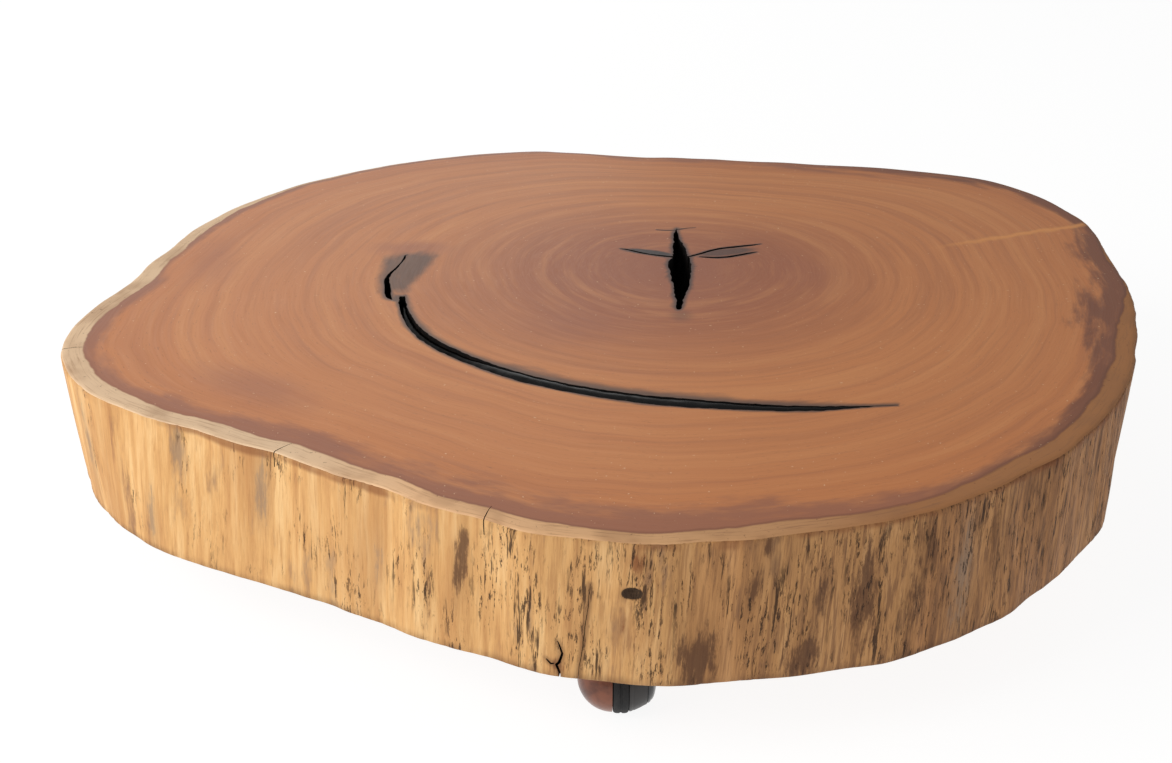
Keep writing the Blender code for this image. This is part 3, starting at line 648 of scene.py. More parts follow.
def polar(radius: np.ndarray, turn: np.ndarray, *more: np.ndarray) -> np.ndarray:
    """Rows of X, Y and any further columns, from radii and turns about the origin."""
    return np.stack((radius * np.cos(turn), radius * np.sin(turn), *more), axis=1)


def wander(points: np.ndarray, scale: float, seed: float) -> np.ndarray:
    """Smooth noise from -1 to 1 at each point's X and Y."""
    return np.array([noise.noise(Vector((row[0] * scale, row[1] * scale, seed))) for row in points])


def crosswise(line: np.ndarray) -> np.ndarray:
    """Unit vectors across a line of points, to its left."""
    along = np.gradient(line, axis=0)
    along /= np.linalg.norm(along, axis=1)[:, None]
    return np.stack((-along[:, 1], along[:, 0]), axis=1)


def cut_edges(thing: Thing, cuts: int, chosen: Iterable[int]) -> None:
    """Subdivide the chosen edges of an object, which are given by their numbers."""
    take(thing)
    with editing("DESELECT"):
        bpy.ops.mesh.select_mode(type="EDGE")
    for index in chosen:
        thing.data.edges[index].select = True
    bpy.ops.object.mode_set(mode="EDIT")
    bpy.ops.mesh.subdivide(number_cuts=cuts)
    bpy.ops.object.mode_set(mode="OBJECT")


def strip(name: str, count: int, across: int = 1) -> tuple[Thing, np.ndarray, np.ndarray]:
    """Add a flat grid.

    Args:
        name: Its name.
        count: How many points long it is.
        across: How many cuts it has across.

    Returns:
        The grid, its points in a unit square round the origin, and each point's number along it.
    """
    deselect()
    bpy.ops.mesh.primitive_grid_add(x_subdivisions=count - 1, y_subdivisions=across, size=1.0)
    thing = named(name)
    flat = points_of(thing)
    return thing, flat, np.rint((flat[:, 0] + 0.5) * (count - 1)).astype(int)


def extruded(thing: Thing, points: np.ndarray, move: Sequence[float]) -> Thing:
    """Move a new grid's points and pull it out into a closed block."""
    move_points(thing, points)
    with editing():
        bpy.ops.mesh.extrude_region_move(TRANSFORM_OT_translate={"value": move})
        face_outward()
    return thing


def apply_modifier(thing: Thing, modifier: bpy.types.Modifier) -> None:
    """Apply one modifier."""
    take(thing)
    bpy.ops.object.modifier_apply(modifier=modifier.name)


def cut(thing: Thing, cutter: Thing, operation: str = "DIFFERENCE") -> None:
    """Cut or join an object with another one, which is then removed."""
    modifier = thing.modifiers.new(operation.title(), "BOOLEAN")
    modifier.operation = operation
    modifier.solver = "EXACT"
    modifier.object = cutter
    apply_modifier(thing, modifier)
    bpy.data.objects.remove(cutter)


def joined(name: str, things: Sequence[Thing]) -> Thing:
    """Join several objects in one."""
    take(*things)
    if len(things) > 1:
        bpy.ops.object.join()
    return named(name)


def smooth(thing: Thing, angle: float) -> None:
    """Shade smooth, with edges sharper than this many degrees kept."""
    take(thing)
    bpy.ops.object.shade_smooth_by_angle(angle=radians(angle))


def distance_to_path(points: np.ndarray, path: np.ndarray) -> tuple[np.ndarray, np.ndarray, np.ndarray]:
    """How far points lie from a line through others.

    Args:
        points: Rows of X and Y.
        path: Rows of X and Y along the line.

    Returns:
        The distance, the share of the path at the nearest place, and the side: 1 at its left, -1 at its
        right.
    """
    best = np.full(len(points), np.inf)
    share = np.zeros(len(points))
    side = np.zeros(len(points))
    steps = len(path) - 1
    for number, (start, end) in enumerate(zip(path, path[1:])):
        line = end - start
        offset = points - start
        along = np.clip(offset @ line / (line @ line), 0.0, 1.0)
        gap = np.linalg.norm(offset - along[:, None] * line, axis=1)
        nearer = gap < best
        best[nearer] = gap[nearer]
        share[nearer] = (number + along[nearer]) / steps
        side[nearer] = np.sign(line[0] * offset[nearer, 1] - line[1] * offset[nearer, 0])
    return best, share, side


# The slice.


@dataclass(frozen=True)
class Split:
    """A split in the top face, along a line of (x, y, half width) in millimetres, this many metres deep."""

    name: str
    path: tuple[tuple[float, float, float], ...]
    depth: float
    ragged: float = 0.3 * MM
    step: float = 3 * MM
    above: float = 10 * MM

    def centre(self) -> np.ndarray:
        """Rows of x, y and half width in metres, at even, close steps along a smooth line."""
        knots = np.array(self.path) * MM
        gaps = np.linalg.norm(np.diff(knots[:, :2], axis=0), axis=1)
        travelled = np.concatenate(([0.0], np.cumsum(gaps)))
        count = max(int(travelled[-1] / self.step), 4)
        even = np.linspace(0.0, travelled[-1], count + 1)
        rows = np.stack([np.interp(even, travelled, knots[:, column]) for column in range(3)], axis=1)
        padded = np.vstack((rows[0], rows, rows[-1]))
        return 0.25 * padded[:-2] + 0.5 * padded[1:-1] + 0.25 * padded[2:]

    def sides(self, widen: float = 0.0) -> list[np.ndarray]:
        """The left and the right side of the split, as rows of x and y, with small nicks."""
        rows = self.centre()
        across = crosswise(rows[:, :2])
        banks = []
        for sign in (1.0, -1.0):
            nicks = self.ragged * 2.0 * wander(rows, 190, sign * 7.3) * (rows[:, 2] > 0.6 * MM)
            half = np.maximum(rows[:, 2] + widen + nicks, 0.12 * MM)
            banks.append(rows[:, :2] + sign * half[:, None] * across)
        return banks

    def cutter(self, top: float) -> Thing:
        """A wedge with the split's outline, from above the top face down to its depth."""
        left, right = self.sides()
        thing, flat, order = strip(f"{self.name}_cutter", len(left))
        flat[:, :2] = np.where((flat[:, 1] > 0)[:, None], left[order], right[order])
        flat[:, 2] = top + self.above
        return extruded(thing, flat, (0.0, 0.0, -self.depth - self.above))


HEART_CHECK = Split(
    "heart_check",
    (
        (64.0, 182.5, 0.3), (61.6, 168.0, 2.2), (61.2, 150.0, 3.3), (62.2, 142.0, 3.8),
        (62.5, 128.0, 6.2), (63.2, 105.0, 7.6), (63.2, 92.0, 9.0), (62.6, 86.0, 9.8), (61.0, 76.0, 12.8),
        (60.6, 56.0, 11.2), (59.4, 36.0, 9.8), (60.0, 16.0, 8.0), (56.8, -6.0, 5.8), (55.6, -25.0, 3.2),
        (54.0, -40.0, 2.7), (53.2, -45.5, 2.4), (52.8, -48.0, 0.4),
    ),
    depth=150 * MM,
    ragged=0.8 * MM,
)
LEFT_CHECK = Split(
    "left_check",
    (
        (56.0, 94.5, 2.2), (42.0, 98.5, 1.8), (31.7, 101.8, 1.6), (23.0, 106.0, 1.5), (13.3, 112.5, 1.7),
        (5.5, 117.5, 1.4), (-1.5, 118.8, 0.3),
    ),
    depth=16 * MM,
)
RIGHT_CHECK_BACK = Split(
    "right_check_back",
    (
        (70.0, 95.0, 1.6), (74.6, 97.2, 1.6), (85.5, 104.6, 1.6), (95.7, 113.0, 1.8), (108.8, 120.0, 1.9),
        (125.0, 125.0, 1.9), (141.3, 129.4, 1.6), (153.5, 134.0, 0.3),
    ),
    depth=14 * MM,
)
RIGHT_CHECK_FRONT = Split(
    "right_check_front",
    (
        (82.0, 95.2, 0.4), (87.9, 94.4, 1.4), (100.2, 92.6, 1.8), (112.9, 94.4, 1.9), (125.9, 100.0, 1.8),
        (139.0, 106.5, 1.4), (146.5, 110.0, 0.3),
    ),
    depth=14 * MM,
)
HAIRLINE = Split(
    "hairline",
    (
        (39.7, 178.2, 0.2), (51.0, 175.7, 0.4), (60.9, 176.4, 0.5), (74.3, 183.0, 0.4),
        (85.9, 184.9, 0.2),
    ),
    depth=6 * MM,
)
OUTER_CHECK = Split(
    "outer_check",
    (
        (-227.5, 101.0, 0.3), (-231.8, 100.0, 0.8), (-230.3, 91.5, 1.0), (-233.5, 74.2, 1.0),
        (-236.7, 61.6, 1.2), (-240.6, 47.7, 1.5), (-242.7, 34.7, 2.2), (-241.5, 23.0, 2.8),
        (-239.3, 11.0, 3.3), (-237.2, -4.0, 3.3), (-235.0, -16.0, 2.8), (-230.6, -23.0, 0.6),
    ),
    depth=33 * MM,
    ragged=0.4 * MM,
)
RING_SHAKE = Split(
    "ring_shake",
    (
        (-221.5, -13.0, 2.6), (-220.0, -30.0, 3.8), (-215.0, -53.0, 4.4), (-205.0, -84.0, 5.2),
        (-190.0, -113.0, 6.2), (-171.0, -137.0, 6.8), (-148.0, -160.0, 6.8), (-120.0, -183.0, 7.0),
        (-92.0, -202.0, 7.8), (-60.0, -218.0, 7.4), (-25.0, -232.0, 8.0), (15.0, -244.0, 8.4),
        (55.0, -251.5, 8.0), (95.0, -257.0, 6.6), (130.0, -260.5, 5.6), (160.0, -261.0, 4.4),
        (185.0, -259.0, 2.6), (212.0, -256.0, 0.4), (230.0, -254.5, 0.2),
    ),
    depth=42 * MM,
    ragged=0.5 * MM,
)
WIDE_SPLITS = (HEART_CHECK, OUTER_CHECK, RING_SHAKE)
NARROW_SPLITS = (LEFT_CHECK, RIGHT_CHECK_BACK, RIGHT_CHECK_FRONT, HAIRLINE)
SOOTY: dict[Split, float] = {
    HEART_CHECK: 7 * MM, OUTER_CHECK: 6 * MM, LEFT_CHECK: 4.5 * MM, RIGHT_CHECK_BACK: 3 * MM,
    RIGHT_CHECK_FRONT: 3 * MM, HAIRLINE: 2 * MM, RING_SHAKE: 5 * MM,
}


@dataclass(frozen=True)
class WallCrack:
    """A thin crack in the live edge, along a line of (degrees round the slice, metres above its base)."""

    name: str
    path: tuple[Point, ...]
    half_width: float
    depth: float = 6 * MM
    outside: float = 6 * MM


WALL_CRACKS: tuple[WallCrack, ...] = (
    WallCrack(
        "long_crack",
        ((265.75, 0.0900), (265.6, 0.0700), (265.3, 0.0505), (265.1, 0.0320), (264.75, 0.0128),
         (264.6, -0.0040)),
        0.26 * MM,
    ),
    WallCrack(
        "forked_crack",
        ((262.75, 0.0350), (263.15, 0.0240), (262.85, 0.0150), (262.60, 0.0125), (262.85, 0.0060),
         (262.9, -0.0040)),
        1.1 * MM,
    ),
    WallCrack("side_branch", ((262.38, 0.0135), (262.05, 0.0128), (261.60, 0.0165)), 0.8 * MM),
)
RIM_WIDTHS = (
    (0, 4.0), (5, 3.5), (130, 4.0), (142, 8.0), (160, 15.0), (180, 21.0), (205, 21.0), (240, 17.0),
    (270, 15.5), (300, 17.0), (335, 19.0), (349, 18.0), (357, 10.0),
)
SHADE_REACHES = (
    (3, 44.0), (9, 30.0), (15, 36.0), (20, 30.0), (25, 14.0), (32, 22.0), (42, 40.0), (60, 26.0), (90, 10.0),
    (130, 7.0), (180, 14.0), (205, 24.0), (225, 34.0), (245, 34.0), (258, 40.0), (270, 46.0), (284, 38.0),
    (298, 20.0), (322, 12.0), (334, 20.0), (343, 40.0), (352, 54.0),
)
SMOKE_PATCH = np.array(
    ((-250.0, 88.0), (-240.0, 100.0), (-220.0, 104.0), (-196.0, 100.0), (-213.0, 35.0), (-220.0, 0.0),
     (-244.0, 1.0), (-250.0, 45.0), (-250.0, 88.0))
) * MM


class LiveEdge:
    """The outline of the frame's slice, read by rays from outside and rounded between its facets."""

    samples = 720
    clear = 8 * MM

    def __init__(self, node: Thing, base: float, top: float) -> None:
        """Read the outline at several heights clear of the rounded rims."""
        mesh = node.data
        tree = BVHTree.FromPolygons([v.co for v in mesh.vertices], [p.vertices for p in mesh.polygons])
        self.heights = np.linspace(base + self.clear, top - self.clear, 9)
        rows = []
        for height in self.heights:
            row = []
            for turn in np.arange(self.samples) * 2 * pi / self.samples:
                out = Vector((cos(turn), sin(turn), 0.0))
                hit = tree.ray_cast(out + Vector((0.0, 0.0, height)), -out)
                row.append(Vector((hit[0].x, hit[0].y)).length)
            rows.append(row)
        self.rows = self.rounded(np.array(rows))

    def rounded(self, rows: np.ndarray) -> np.ndarray:
        """Average each radius with its neighbours, which rounds the facets away."""
        steps = np.arange(-4, 5)
        weights = np.exp(-0.5 * (steps / 1.9) ** 2)
        weights /= weights.sum()
        return np.sum([np.roll(rows, step, axis=1) * weight for step, weight in zip(steps, weights)], axis=0)

    def radius(self, turn: np.ndarray, height: np.ndarray) -> np.ndarray:
        """Radius about the origin at each turn in radians and height in metres."""
        column = (turn / (2 * pi) * self.samples) % self.samples
        first = np.floor(column).astype(int) % self.samples
        share = column - np.floor(column)
        level = np.interp(height, self.heights, np.arange(len(self.heights)))
        low = np.minimum(np.floor(level).astype(int), len(self.heights) - 2)
        lift = level - low
        second = (first + 1) % self.samples
        lower = self.rows[low, first] * (1 - share) + self.rows[low, second] * share
        upper = self.rows[low + 1, first] * (1 - share) + self.rows[low + 1, second] * share
        return lower * (1 - lift) + upper * lift


class WoodSlice:
    """The slice: a fine live edge, polar caps round the pith, and splits cut into it."""

    pith: Point = (0.0607, 0.0629)
    wall_steps = 1080
    wall_levels = 34
    cap_steps = 360
    top_rings = 96
    under_rings = 12
    rim_round = (2.2 * MM, 3.5 * MM)
    rim_drop = 0.6 * MM
    foot_round = 3.0 * MM
    lip = 4.0 * MM
    cap_gap = 2.5 * MM
    core = 0.012
    bend_rows = 4
    rim_checks = (194.9, 229.3, 255.5)
    knot_angle = 269.6
    knot_height = 85.7 * MM
    knot_radius = 7 * MM
    knot_swell = 2.2 * MM

    def __init__(self, node: Thing) -> None:
        """Take the slice's heights and outline from the frame."""
        self.node = node
        low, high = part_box(self.node.name)
        self.base, self.top = low.z, high.z
        self.edge = LiveEdge(node, self.base, self.top)

    def rim_radius(self, turn: np.ndarray) -> np.ndarray:
        """How round the upper rim is at each turn: crisp on the left, softer on the right."""
        share = 0.5 + 0.5 * np.cos(turn + radians(20.0))
        crisp, soft = self.rim_round
        return crisp + (soft - crisp) * share**1.5

    def fibre_relief(self, x: np.ndarray, y: np.ndarray, z: np.ndarray) -> np.ndarray:
        """How far the fibres, furrows and worn hollows of the live edge stand out, in metres."""

        def grain(a: float, b: float, c: float, scale: float, upright: float, shift: float) -> float:
            """Noise with this many features a metre across and up the live edge."""
            return noise.noise(Vector((a * scale, b * scale, c * upright + shift)))

        relief = np.zeros(len(x))
        for index, (a, b, c) in enumerate(zip(x, y, z)):
            a -= DebarkedSide.lean * c
            strand = grain(a, b, c, 150, 11, 0.0)
            swell = grain(a, b, c, 42, 5, 4.0)
            furrow = max(0.0, 0.10 - abs(grain(a, b, c, 62, 6, 9.0))) / 0.10
            patch = max(0.0, grain(a, b, c, 13, 7, 2.0) + 0.15)
            chip = max(0.0, grain(a, b, c, 34, 26, 6.0) - 0.30)
            relief[index] = 0.35 * strand + 0.8 * swell - 1.5 * furrow * patch - 2.4 * chip
        return relief * MM

    def profile(self, turn: np.ndarray, row: np.ndarray) -> tuple[np.ndarray, np.ndarray, np.ndarray]:
        """Where each row of the live edge lies, from the flat underside round both rims to the flat top.

        Args:
            turn: The turn of each point in radians.
            row: Its row, from 0 to wall_levels + 1.

        Returns:
            How far in from the outline it lies, its height, and how much the fibres show there.
        """
        last = self.wall_levels + 1
        upper, lower = self.rim_radius(turn), np.full(len(turn), self.foot_round)
        bends = self.bend_rows
        inset = np.zeros(len(turn))
        sides = np.clip((row - bends - 1) / (last - 2 * bends - 2), 0.0, 1.0)
        z = self.base + lower + (self.top - upper - self.base - lower) * sides
        shows = np.ones(len(turn))
        for radius, near, level, away in (
            (lower, row - 1, self.base, 1.0), (upper, last - 1 - row, self.top, -1.0)
        ):
            arc = np.clip(near / bends, 0.0, 1.0) * pi / 2
            bent = near <= bends
            inset = np.where(bent, radius * (1.0 - np.sin(arc)), inset)
            z = np.where(bent, level + away * radius * (1.0 - np.cos(arc)), z)
            shows = np.where(bent, 0.25 + 0.75 * np.sin(arc), shows)
            flat = near < 0
            inset = np.where(flat, radius + self.lip, inset)
            z = np.where(flat, level, z)
            shows = np.where(flat, 0.0, shows)
        return inset, z, shows

    def wall(self) -> tuple[Thing, np.ndarray, np.ndarray]:
        """The live edge, with a narrow lip on the underside and on the top.

        Returns:
            The wall, and the points along its upper and its lower opening in order round it.
        """
        deselect()
        bpy.ops.mesh.primitive_cylinder_add(
            vertices=self.wall_steps, radius=1.0, depth=1.0, end_fill_type="NOTHING", location=(0.0, 0.0, 0.5)
        )
        thing = named("wall")
        bpy.ops.object.transform_apply(location=True, rotation=False, scale=False)
        heights = points_of(thing)[:, 2]
        upright = [
            e.index for e in thing.data.edges
            if abs(heights[e.vertices[0]] - heights[e.vertices[1]]) > 0.5
        ]
        cut_edges(thing, self.wall_levels, upright)
        points = points_of(thing)
        turn = np.arctan2(points[:, 1], points[:, 0])
        row = np.rint(points[:, 2] * (self.wall_levels + 1))
        inset, z, shows = self.profile(turn, row)
        radius = self.edge.radius(turn, z)
        relief = self.fibre_relief(radius * np.cos(turn), radius * np.sin(turn), z)
        radius = radius - inset + shows * (relief + self.knot_relief(turn, z))
        drop = self.rim_drop * shows * np.clip(1.0 - (self.top - z) / (5 * MM), 0.0, 1.0)
        points = polar(radius, turn, z - drop)
        move_points(thing, points)
        rows = thing.data.attributes.new("row", "FLOAT", "POINT")
        rows.data.foreach_set("value", (row + 1).astype(np.float32))
        order = np.argsort(np.rint(turn % (2 * pi) / (2 * pi) * self.wall_steps) % self.wall_steps)
        upper, lower = (points[order][row[order] == wanted] for wanted in (row.max(), 0))
        return thing, upper, lower

    def knot_relief(self, turn: np.ndarray, z: np.ndarray) -> np.ndarray:
        """The swelling round the knot and the pit in its middle."""
        across = np.angle(np.exp(1j * (turn - radians(self.knot_angle)))) * WALL_REACH
        far = np.hypot(across / 1.5, z - self.base - self.knot_height) / self.knot_radius
        swelling = self.knot_swell * np.exp(-0.5 * (far / 1.3) ** 2)
        return swelling - 2.2 * self.knot_swell * np.exp(-0.5 * (far / 0.45) ** 2)

    def cap(self, name: str, rim: np.ndarray, rings: int, lifted: float) -> Thing:
        """A disc of rings that shrink towards the pith.

        Args:
            name: Its name.
            rim: Its outline, as rows of X, Y and Z.
            rings: How many rings lie inside the outline.
            lifted: Its height for now, clear of the slice.

        Returns:
            The disc.
        """
        deselect()
        bpy.ops.mesh.primitive_circle_add(vertices=self.cap_steps, radius=1.0, fill_type="NOTHING")
        thing = named(name)
        with editing():
            bpy.ops.mesh.extrude_edges_move(TRANSFORM_OT_translate={"value": (0.0, 0.0, 0.0)})
            bpy.ops.transform.resize(value=(self.core, self.core, 1.0), center_override=(0.0, 0.0, 0.0))
            bpy.ops.mesh.edge_face_add()
        far = np.hypot(*points_of(thing)[:, :2].T)
        radial = [e.index for e in thing.data.edges if abs(far[e.vertices[0]] - far[e.vertices[1]]) > 0.5]
        cut_edges(thing, rings, radial)
        points = points_of(thing)
        far = np.hypot(points[:, 0], points[:, 1])
        turn = np.arctan2(points[:, 1], points[:, 0]) % (2 * pi)
        step = np.rint(turn / (2 * pi) * self.cap_steps).astype(int) % self.cap_steps
        middle = np.array((*self.pith, 0.0))
        flat = middle + (rim[step] - middle) * far[:, None]
        flat[:, 2] = lifted
        move_points(thing, flat)
        return thing

    def body(self) -> Thing:
        """The wall and both caps, bridged in one closed shape."""
        wall, upper, lower = self.wall()
        caps = []
        clear = self.top - self.base
        for name, rim, rings, lifted in (
            ("top_cap", upper, self.top_rings, self.top + clear),
            ("under_cap", lower, self.under_rings, self.base - clear),
        ):
            shrunk = rim[:: self.wall_steps // self.cap_steps].copy()
            inset = self.cap_gap / np.linalg.norm(shrunk[:, :2], axis=1)
            shrunk[:, :2] *= 1.0 - inset[:, None]
            caps.append(self.cap(name, shrunk, rings, lifted))
        thing = joined("wood_slice_body", [wall, *caps])
        for sign in (1, -1):
            self.bridge(thing, sign)
        points = points_of(thing)
        points[:, 2] = np.clip(points[:, 2], self.base, self.top)
        move_points(thing, points)
        with editing():
            face_outward()
        return thing

    def bridge(self, thing: Thing, sign: int) -> None:
        """Join the open edges of the wall and of one cap."""
        take(thing)
        middle = (self.base + self.top) / 2
        with editing("DESELECT"):
            bpy.ops.mesh.select_mode(type="EDGE")
            shape = bmesh.from_edit_mesh(thing.data)
            for edge in shape.edges:
                if edge.is_boundary and (edge.verts[0].co.z - middle) * sign > 0:
                    edge.select_set(True)
            bmesh.update_edit_mesh(thing.data)
            bpy.ops.mesh.bridge_edge_loops()

    def wall_cutter(self, crack: WallCrack) -> Thing:
        """A thin wedge that follows a crack in the live edge."""
        knots = np.array(crack.path)
        count = 4 * (len(knots) - 1) + 1
        spread = np.linspace(0, len(knots) - 1, count)
        angle, height = (np.interp(spread, np.arange(len(knots)), knots[:, column]) for column in (0, 1))
        sideways = np.array([noise.noise(Vector((up * 120, 3.0, 1.0))) for up in height]) * 0.5 * MM
        line = np.stack((np.radians(angle) * WALL_REACH + sideways, self.base + height), axis=1)
        thing, flat, order = strip(f"{crack.name}_cutter", count)
        taper = np.sin(pi * (order + 0.6) / (count + 0.2)) ** 0.5
        half = crack.half_width * taper * np.sign(flat[:, 1])
        spot = line[order] + crosswise(line)[order] * half[:, None]
        turn, up = spot[:, 0] / WALL_REACH, spot[:, 1]
        points = polar(self.edge.radius(turn, up) + crack.outside, turn, up)
        middle = radians(float(np.mean(angle)))
        inward = -(crack.depth + crack.outside)
        return extruded(thing, points, (inward * cos(middle), inward * sin(middle), 0.0))

    def rim_check(self, angle: float) -> Split:
        """A short, thin split that runs in from the rim at this many degrees."""
        turn = radians(angle)
        radius = float(self.edge.radius(np.array([turn]), np.array([self.top]))[0]) / MM
        path = tuple(
            ((radius - inward) * cos(turn + bend), (radius - inward) * sin(turn + bend), half)
            for inward, bend, half in (
                (20, 0.0012, 0.15), (13, -0.0010, 0.30), (6, 0.0004, 0.42), (-6, 0.0, 0.50)
            )
        )
        return Split(f"rim_check_{int(angle)}", path, depth=14 * MM)

    def build(self) -> Thing:
        """Model the slice, cut its splits and dress it.

        Returns:
            The finished piece, which stands for the frame's slice.
        """
        thing = self.body()
        materials = [
            OiledTop(self.pith).build(), DebarkedSide(self.base, self.top).build(),
            SawnUnderside("sawn_underside").build(), CharredWall("charred_split").build(),
        ]
        for material in materials:
            thing.data.materials.append(material)
        self.sort_faces(thing)
        wide = [split.cutter(self.top) for split in WIDE_SPLITS]
        narrow = [split.cutter(self.top) for split in NARROW_SPLITS]
        narrow += [self.rim_check(angle).cutter(self.top) for angle in self.rim_checks]
        long_crack, forked_crack, side_branch = (self.wall_cutter(crack) for crack in WALL_CRACKS)
        groups = ([*wide, long_crack], [*narrow, forked_crack], [side_branch])
        for number, cutters in enumerate(groups):
            cutter = joined(f"slice_cutter_{number}", cutters)
            cutter.data.materials.clear()
            for material in materials:
                cutter.data.materials.append(material)
            for face in cutter.data.polygons:
                face.material_index = Face.SPLIT.value
            cut(thing, cutter)
        self.measure(thing)
        smooth(thing, 40.0)
        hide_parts(self.node.name)
        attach(thing, "table")
        return thing

    def sort_faces(self, thing: Thing) -> None:
        """Give each face its finish: the rims belong to the top and the underside as far as half round."""
        rows = np.empty(len(thing.data.vertices), np.float32)
        thing.data.attributes["row"].data.foreach_get("value", rows)
        half_round = self.bend_rows // 2
        last = self.wall_levels + 2
        for face in thing.data.polygons:
            found = rows[list(face.vertices)]
            if found.min() < 0.5:
                kind = Face.TOP if face.normal.z > 0 else Face.UNDERSIDE
            elif found.min() > last - 1.5 - half_round:
                kind = Face.TOP
            elif found.max() < 2.5 + half_round:
                kind = Face.UNDERSIDE
            else:
                kind = Face.SIDE
            face.material_index = kind.value
        thing.data.attributes.remove(thing.data.attributes["row"])

    def measure(self, thing: Thing) -> None:
        """Write the numbers that the materials read: age, ring radius, distances to rim and splits."""
        points = points_of(thing)
        flat = points[:, :2]
        out = flat - np.array(self.pith)
        far = np.linalg.norm(out, axis=1)
        reach = self.reach(np.arctan2(out[:, 1], out[:, 0]))
        age = np.clip(far / reach, 0.0, 1.0)
        shaped = np.clip((age - 0.25) / 0.75, 0.0, 1.0) ** 1.4
        ring = far * (1.0 + shaped * (np.mean(reach) / reach - 1.0))
        turn = np.arctan2(flat[:, 1], flat[:, 0])
        rim = self.edge.radius(turn, np.full(len(flat), self.top)) - np.linalg.norm(flat, axis=1)
        degrees = np.degrees(turn) % 360
        width, shade = (
            np.interp(degrees, *np.array(table).T, period=360) * MM for table in (RIM_WIDTHS, SHADE_REACHES)
        )
        for name, values in (
            ("age", age), ("ring_radius", ring), ("rim_distance", rim), ("rim_inside", rim - width),
            ("bark_shade", np.clip((rim - width) / shade, 0.0, FAR)), ("scorch", self.scorch(points)),
            ("smoke_edge", self.smoke_edge(flat)), ("crack_gap", self.crack_gap(points)),
        ):
            attribute = thing.data.attributes.new(name, "FLOAT", "POINT")
            attribute.data.foreach_set("value", values.astype(np.float32))

    def reach(self, turn: np.ndarray) -> np.ndarray:
        """Distance from the pith to the live edge at each turn round the pith."""
        angles = np.linspace(0.0, 2 * pi, 721)
        radius = self.edge.radius(angles, np.full(len(angles), self.top))
        outline = polar(radius, angles) - np.array(self.pith)
        seen = np.arctan2(outline[:, 1], outline[:, 0])
        order = np.argsort(seen)
        return np.interp(turn, seen[order], np.linalg.norm(outline, axis=1)[order], period=2 * pi)

    def scorch(self, points: np.ndarray) -> np.ndarray:
        """How far each point lies from the nearest split, as a share of the reach of that split's soot."""
        flat = points[:, :2]
        nearest = np.full(len(flat), FAR)
        for split, soot in SOOTY.items():
            rows = split.centre()
            gap, share, side = distance_to_path(flat, rows[:, :2])
            gap = np.maximum(gap - np.interp(share, np.linspace(0, 1, len(rows)), rows[:, 2]), 0.0)
            middle = np.exp(-0.5 * ((share - 0.58) / 0.24) ** 2)
            wider = 15 * MM * middle * (side > 0) * (split is RING_SHAKE)
            np.minimum(nearest, gap / (soot + wider), out=nearest)
        nearest[points[:, 2] < self.top - 3 * MM] = FAR
        return nearest

    def smoke_edge(self, flat: np.ndarray) -> np.ndarray:
        """From 0 inside the smoky patch at the outer split to 1 and more outside it."""
        flatter = np.array((1.0, 0.5))
        gap, _, _ = distance_to_path(flat * flatter, SMOKE_PATCH * flatter)
        crossings = np.zeros(len(flat), int)
        for (x0, y0), (x1, y1) in zip(SMOKE_PATCH, SMOKE_PATCH[1:]):
            spans = (flat[:, 1] > y0) != (flat[:, 1] > y1)
            meets = x0 + (flat[:, 1] - y0) / (y1 - y0 + 1e-9) * (x1 - x0)
            crossings += spans & (flat[:, 0] < meets)
        signed = np.where(crossings % 2 == 1, -gap, gap)
        return np.clip((signed + 4 * MM) / (11 * MM), 0.0, FAR)

    def crack_gap(self, points: np.ndarray) -> np.ndarray:
        """Distance of each point to the nearest crack in the live edge, as a share of its stain's reach."""
        turn = np.arctan2(points[:, 1], points[:, 0]) % (2 * pi)
        unrolled = np.stack((turn * WALL_REACH, points[:, 2] - self.base), axis=1)
        nearest = np.full(len(points), FAR)
        for crack in WALL_CRACKS:
            line = np.array([(radians(angle) * WALL_REACH, height) for angle, height in crack.path])
            gap, _, _ = distance_to_path(unrolled, line)
            np.minimum(nearest, gap / (5 * MM), out=nearest)
        return nearest


class ResinFill:
    """Black resin in the ring shake: a lumpy bead a little under the top, lower at its sides."""

    clearance = 0.35 * MM
    sunk = 0.5 * MM
    crown = 0.72
    sink_start = 6.0 * MM
    across = 11
    thickness = 8 * MM
    ends = slice(1, -8)

    def __init__(self, node: Thing) -> None:
        """Keep the frame's resin, which the fill stands for."""
        self.node = node

    def build(self) -> Thing:
        """Model the fill.

        Returns:
            The finished piece, which stands for the frame's resin.
        """
        _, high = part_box("wood_slice")
        left, right = (bank[self.ends] for bank in RING_SHAKE.sides(widen=-self.clearance))
        thing, flat, order = strip("shake_resin_fill", len(left), self.across)
        side = flat[:, 1] + 0.5
        flat[:, :2] = left[order] * side[:, None] + right[order] * (1.0 - side[:, None])
        back = np.clip((side - self.crown) / (1.0 - self.crown), 0.0, 1.0) ** 1.8
        front = np.clip((self.crown - side) / self.crown, 0.0, 1.0) ** 1.6
        fall = 0.7 * MM * back + 2.4 * MM * front
        deeper = self.sink_start * np.clip(1.0 - order / len(left) / 0.36, 0.0, 1.0) ** 0.7
        lumps = 0.6 * MM * wander(flat, 38, 1.0) + 0.12 * MM * wander(flat, 210, 5.0)
        flat[:, 2] = high.z - self.sunk - deeper - fall + lumps
        move_points(thing, flat)
        solid = thing.modifiers.new("Depth", "SOLIDIFY")
        solid.thickness = self.thickness
        solid.offset = -1.0
        apply_modifier(thing, solid)
        thing.data.materials.append(BlackResin("black_resin").build())
        smooth(thing, 50.0)
        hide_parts(self.node.name)
        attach(thing, "table")
        return thing


# The casters.

FINISHED: dict[Slot, bpy.types.Material] = {}


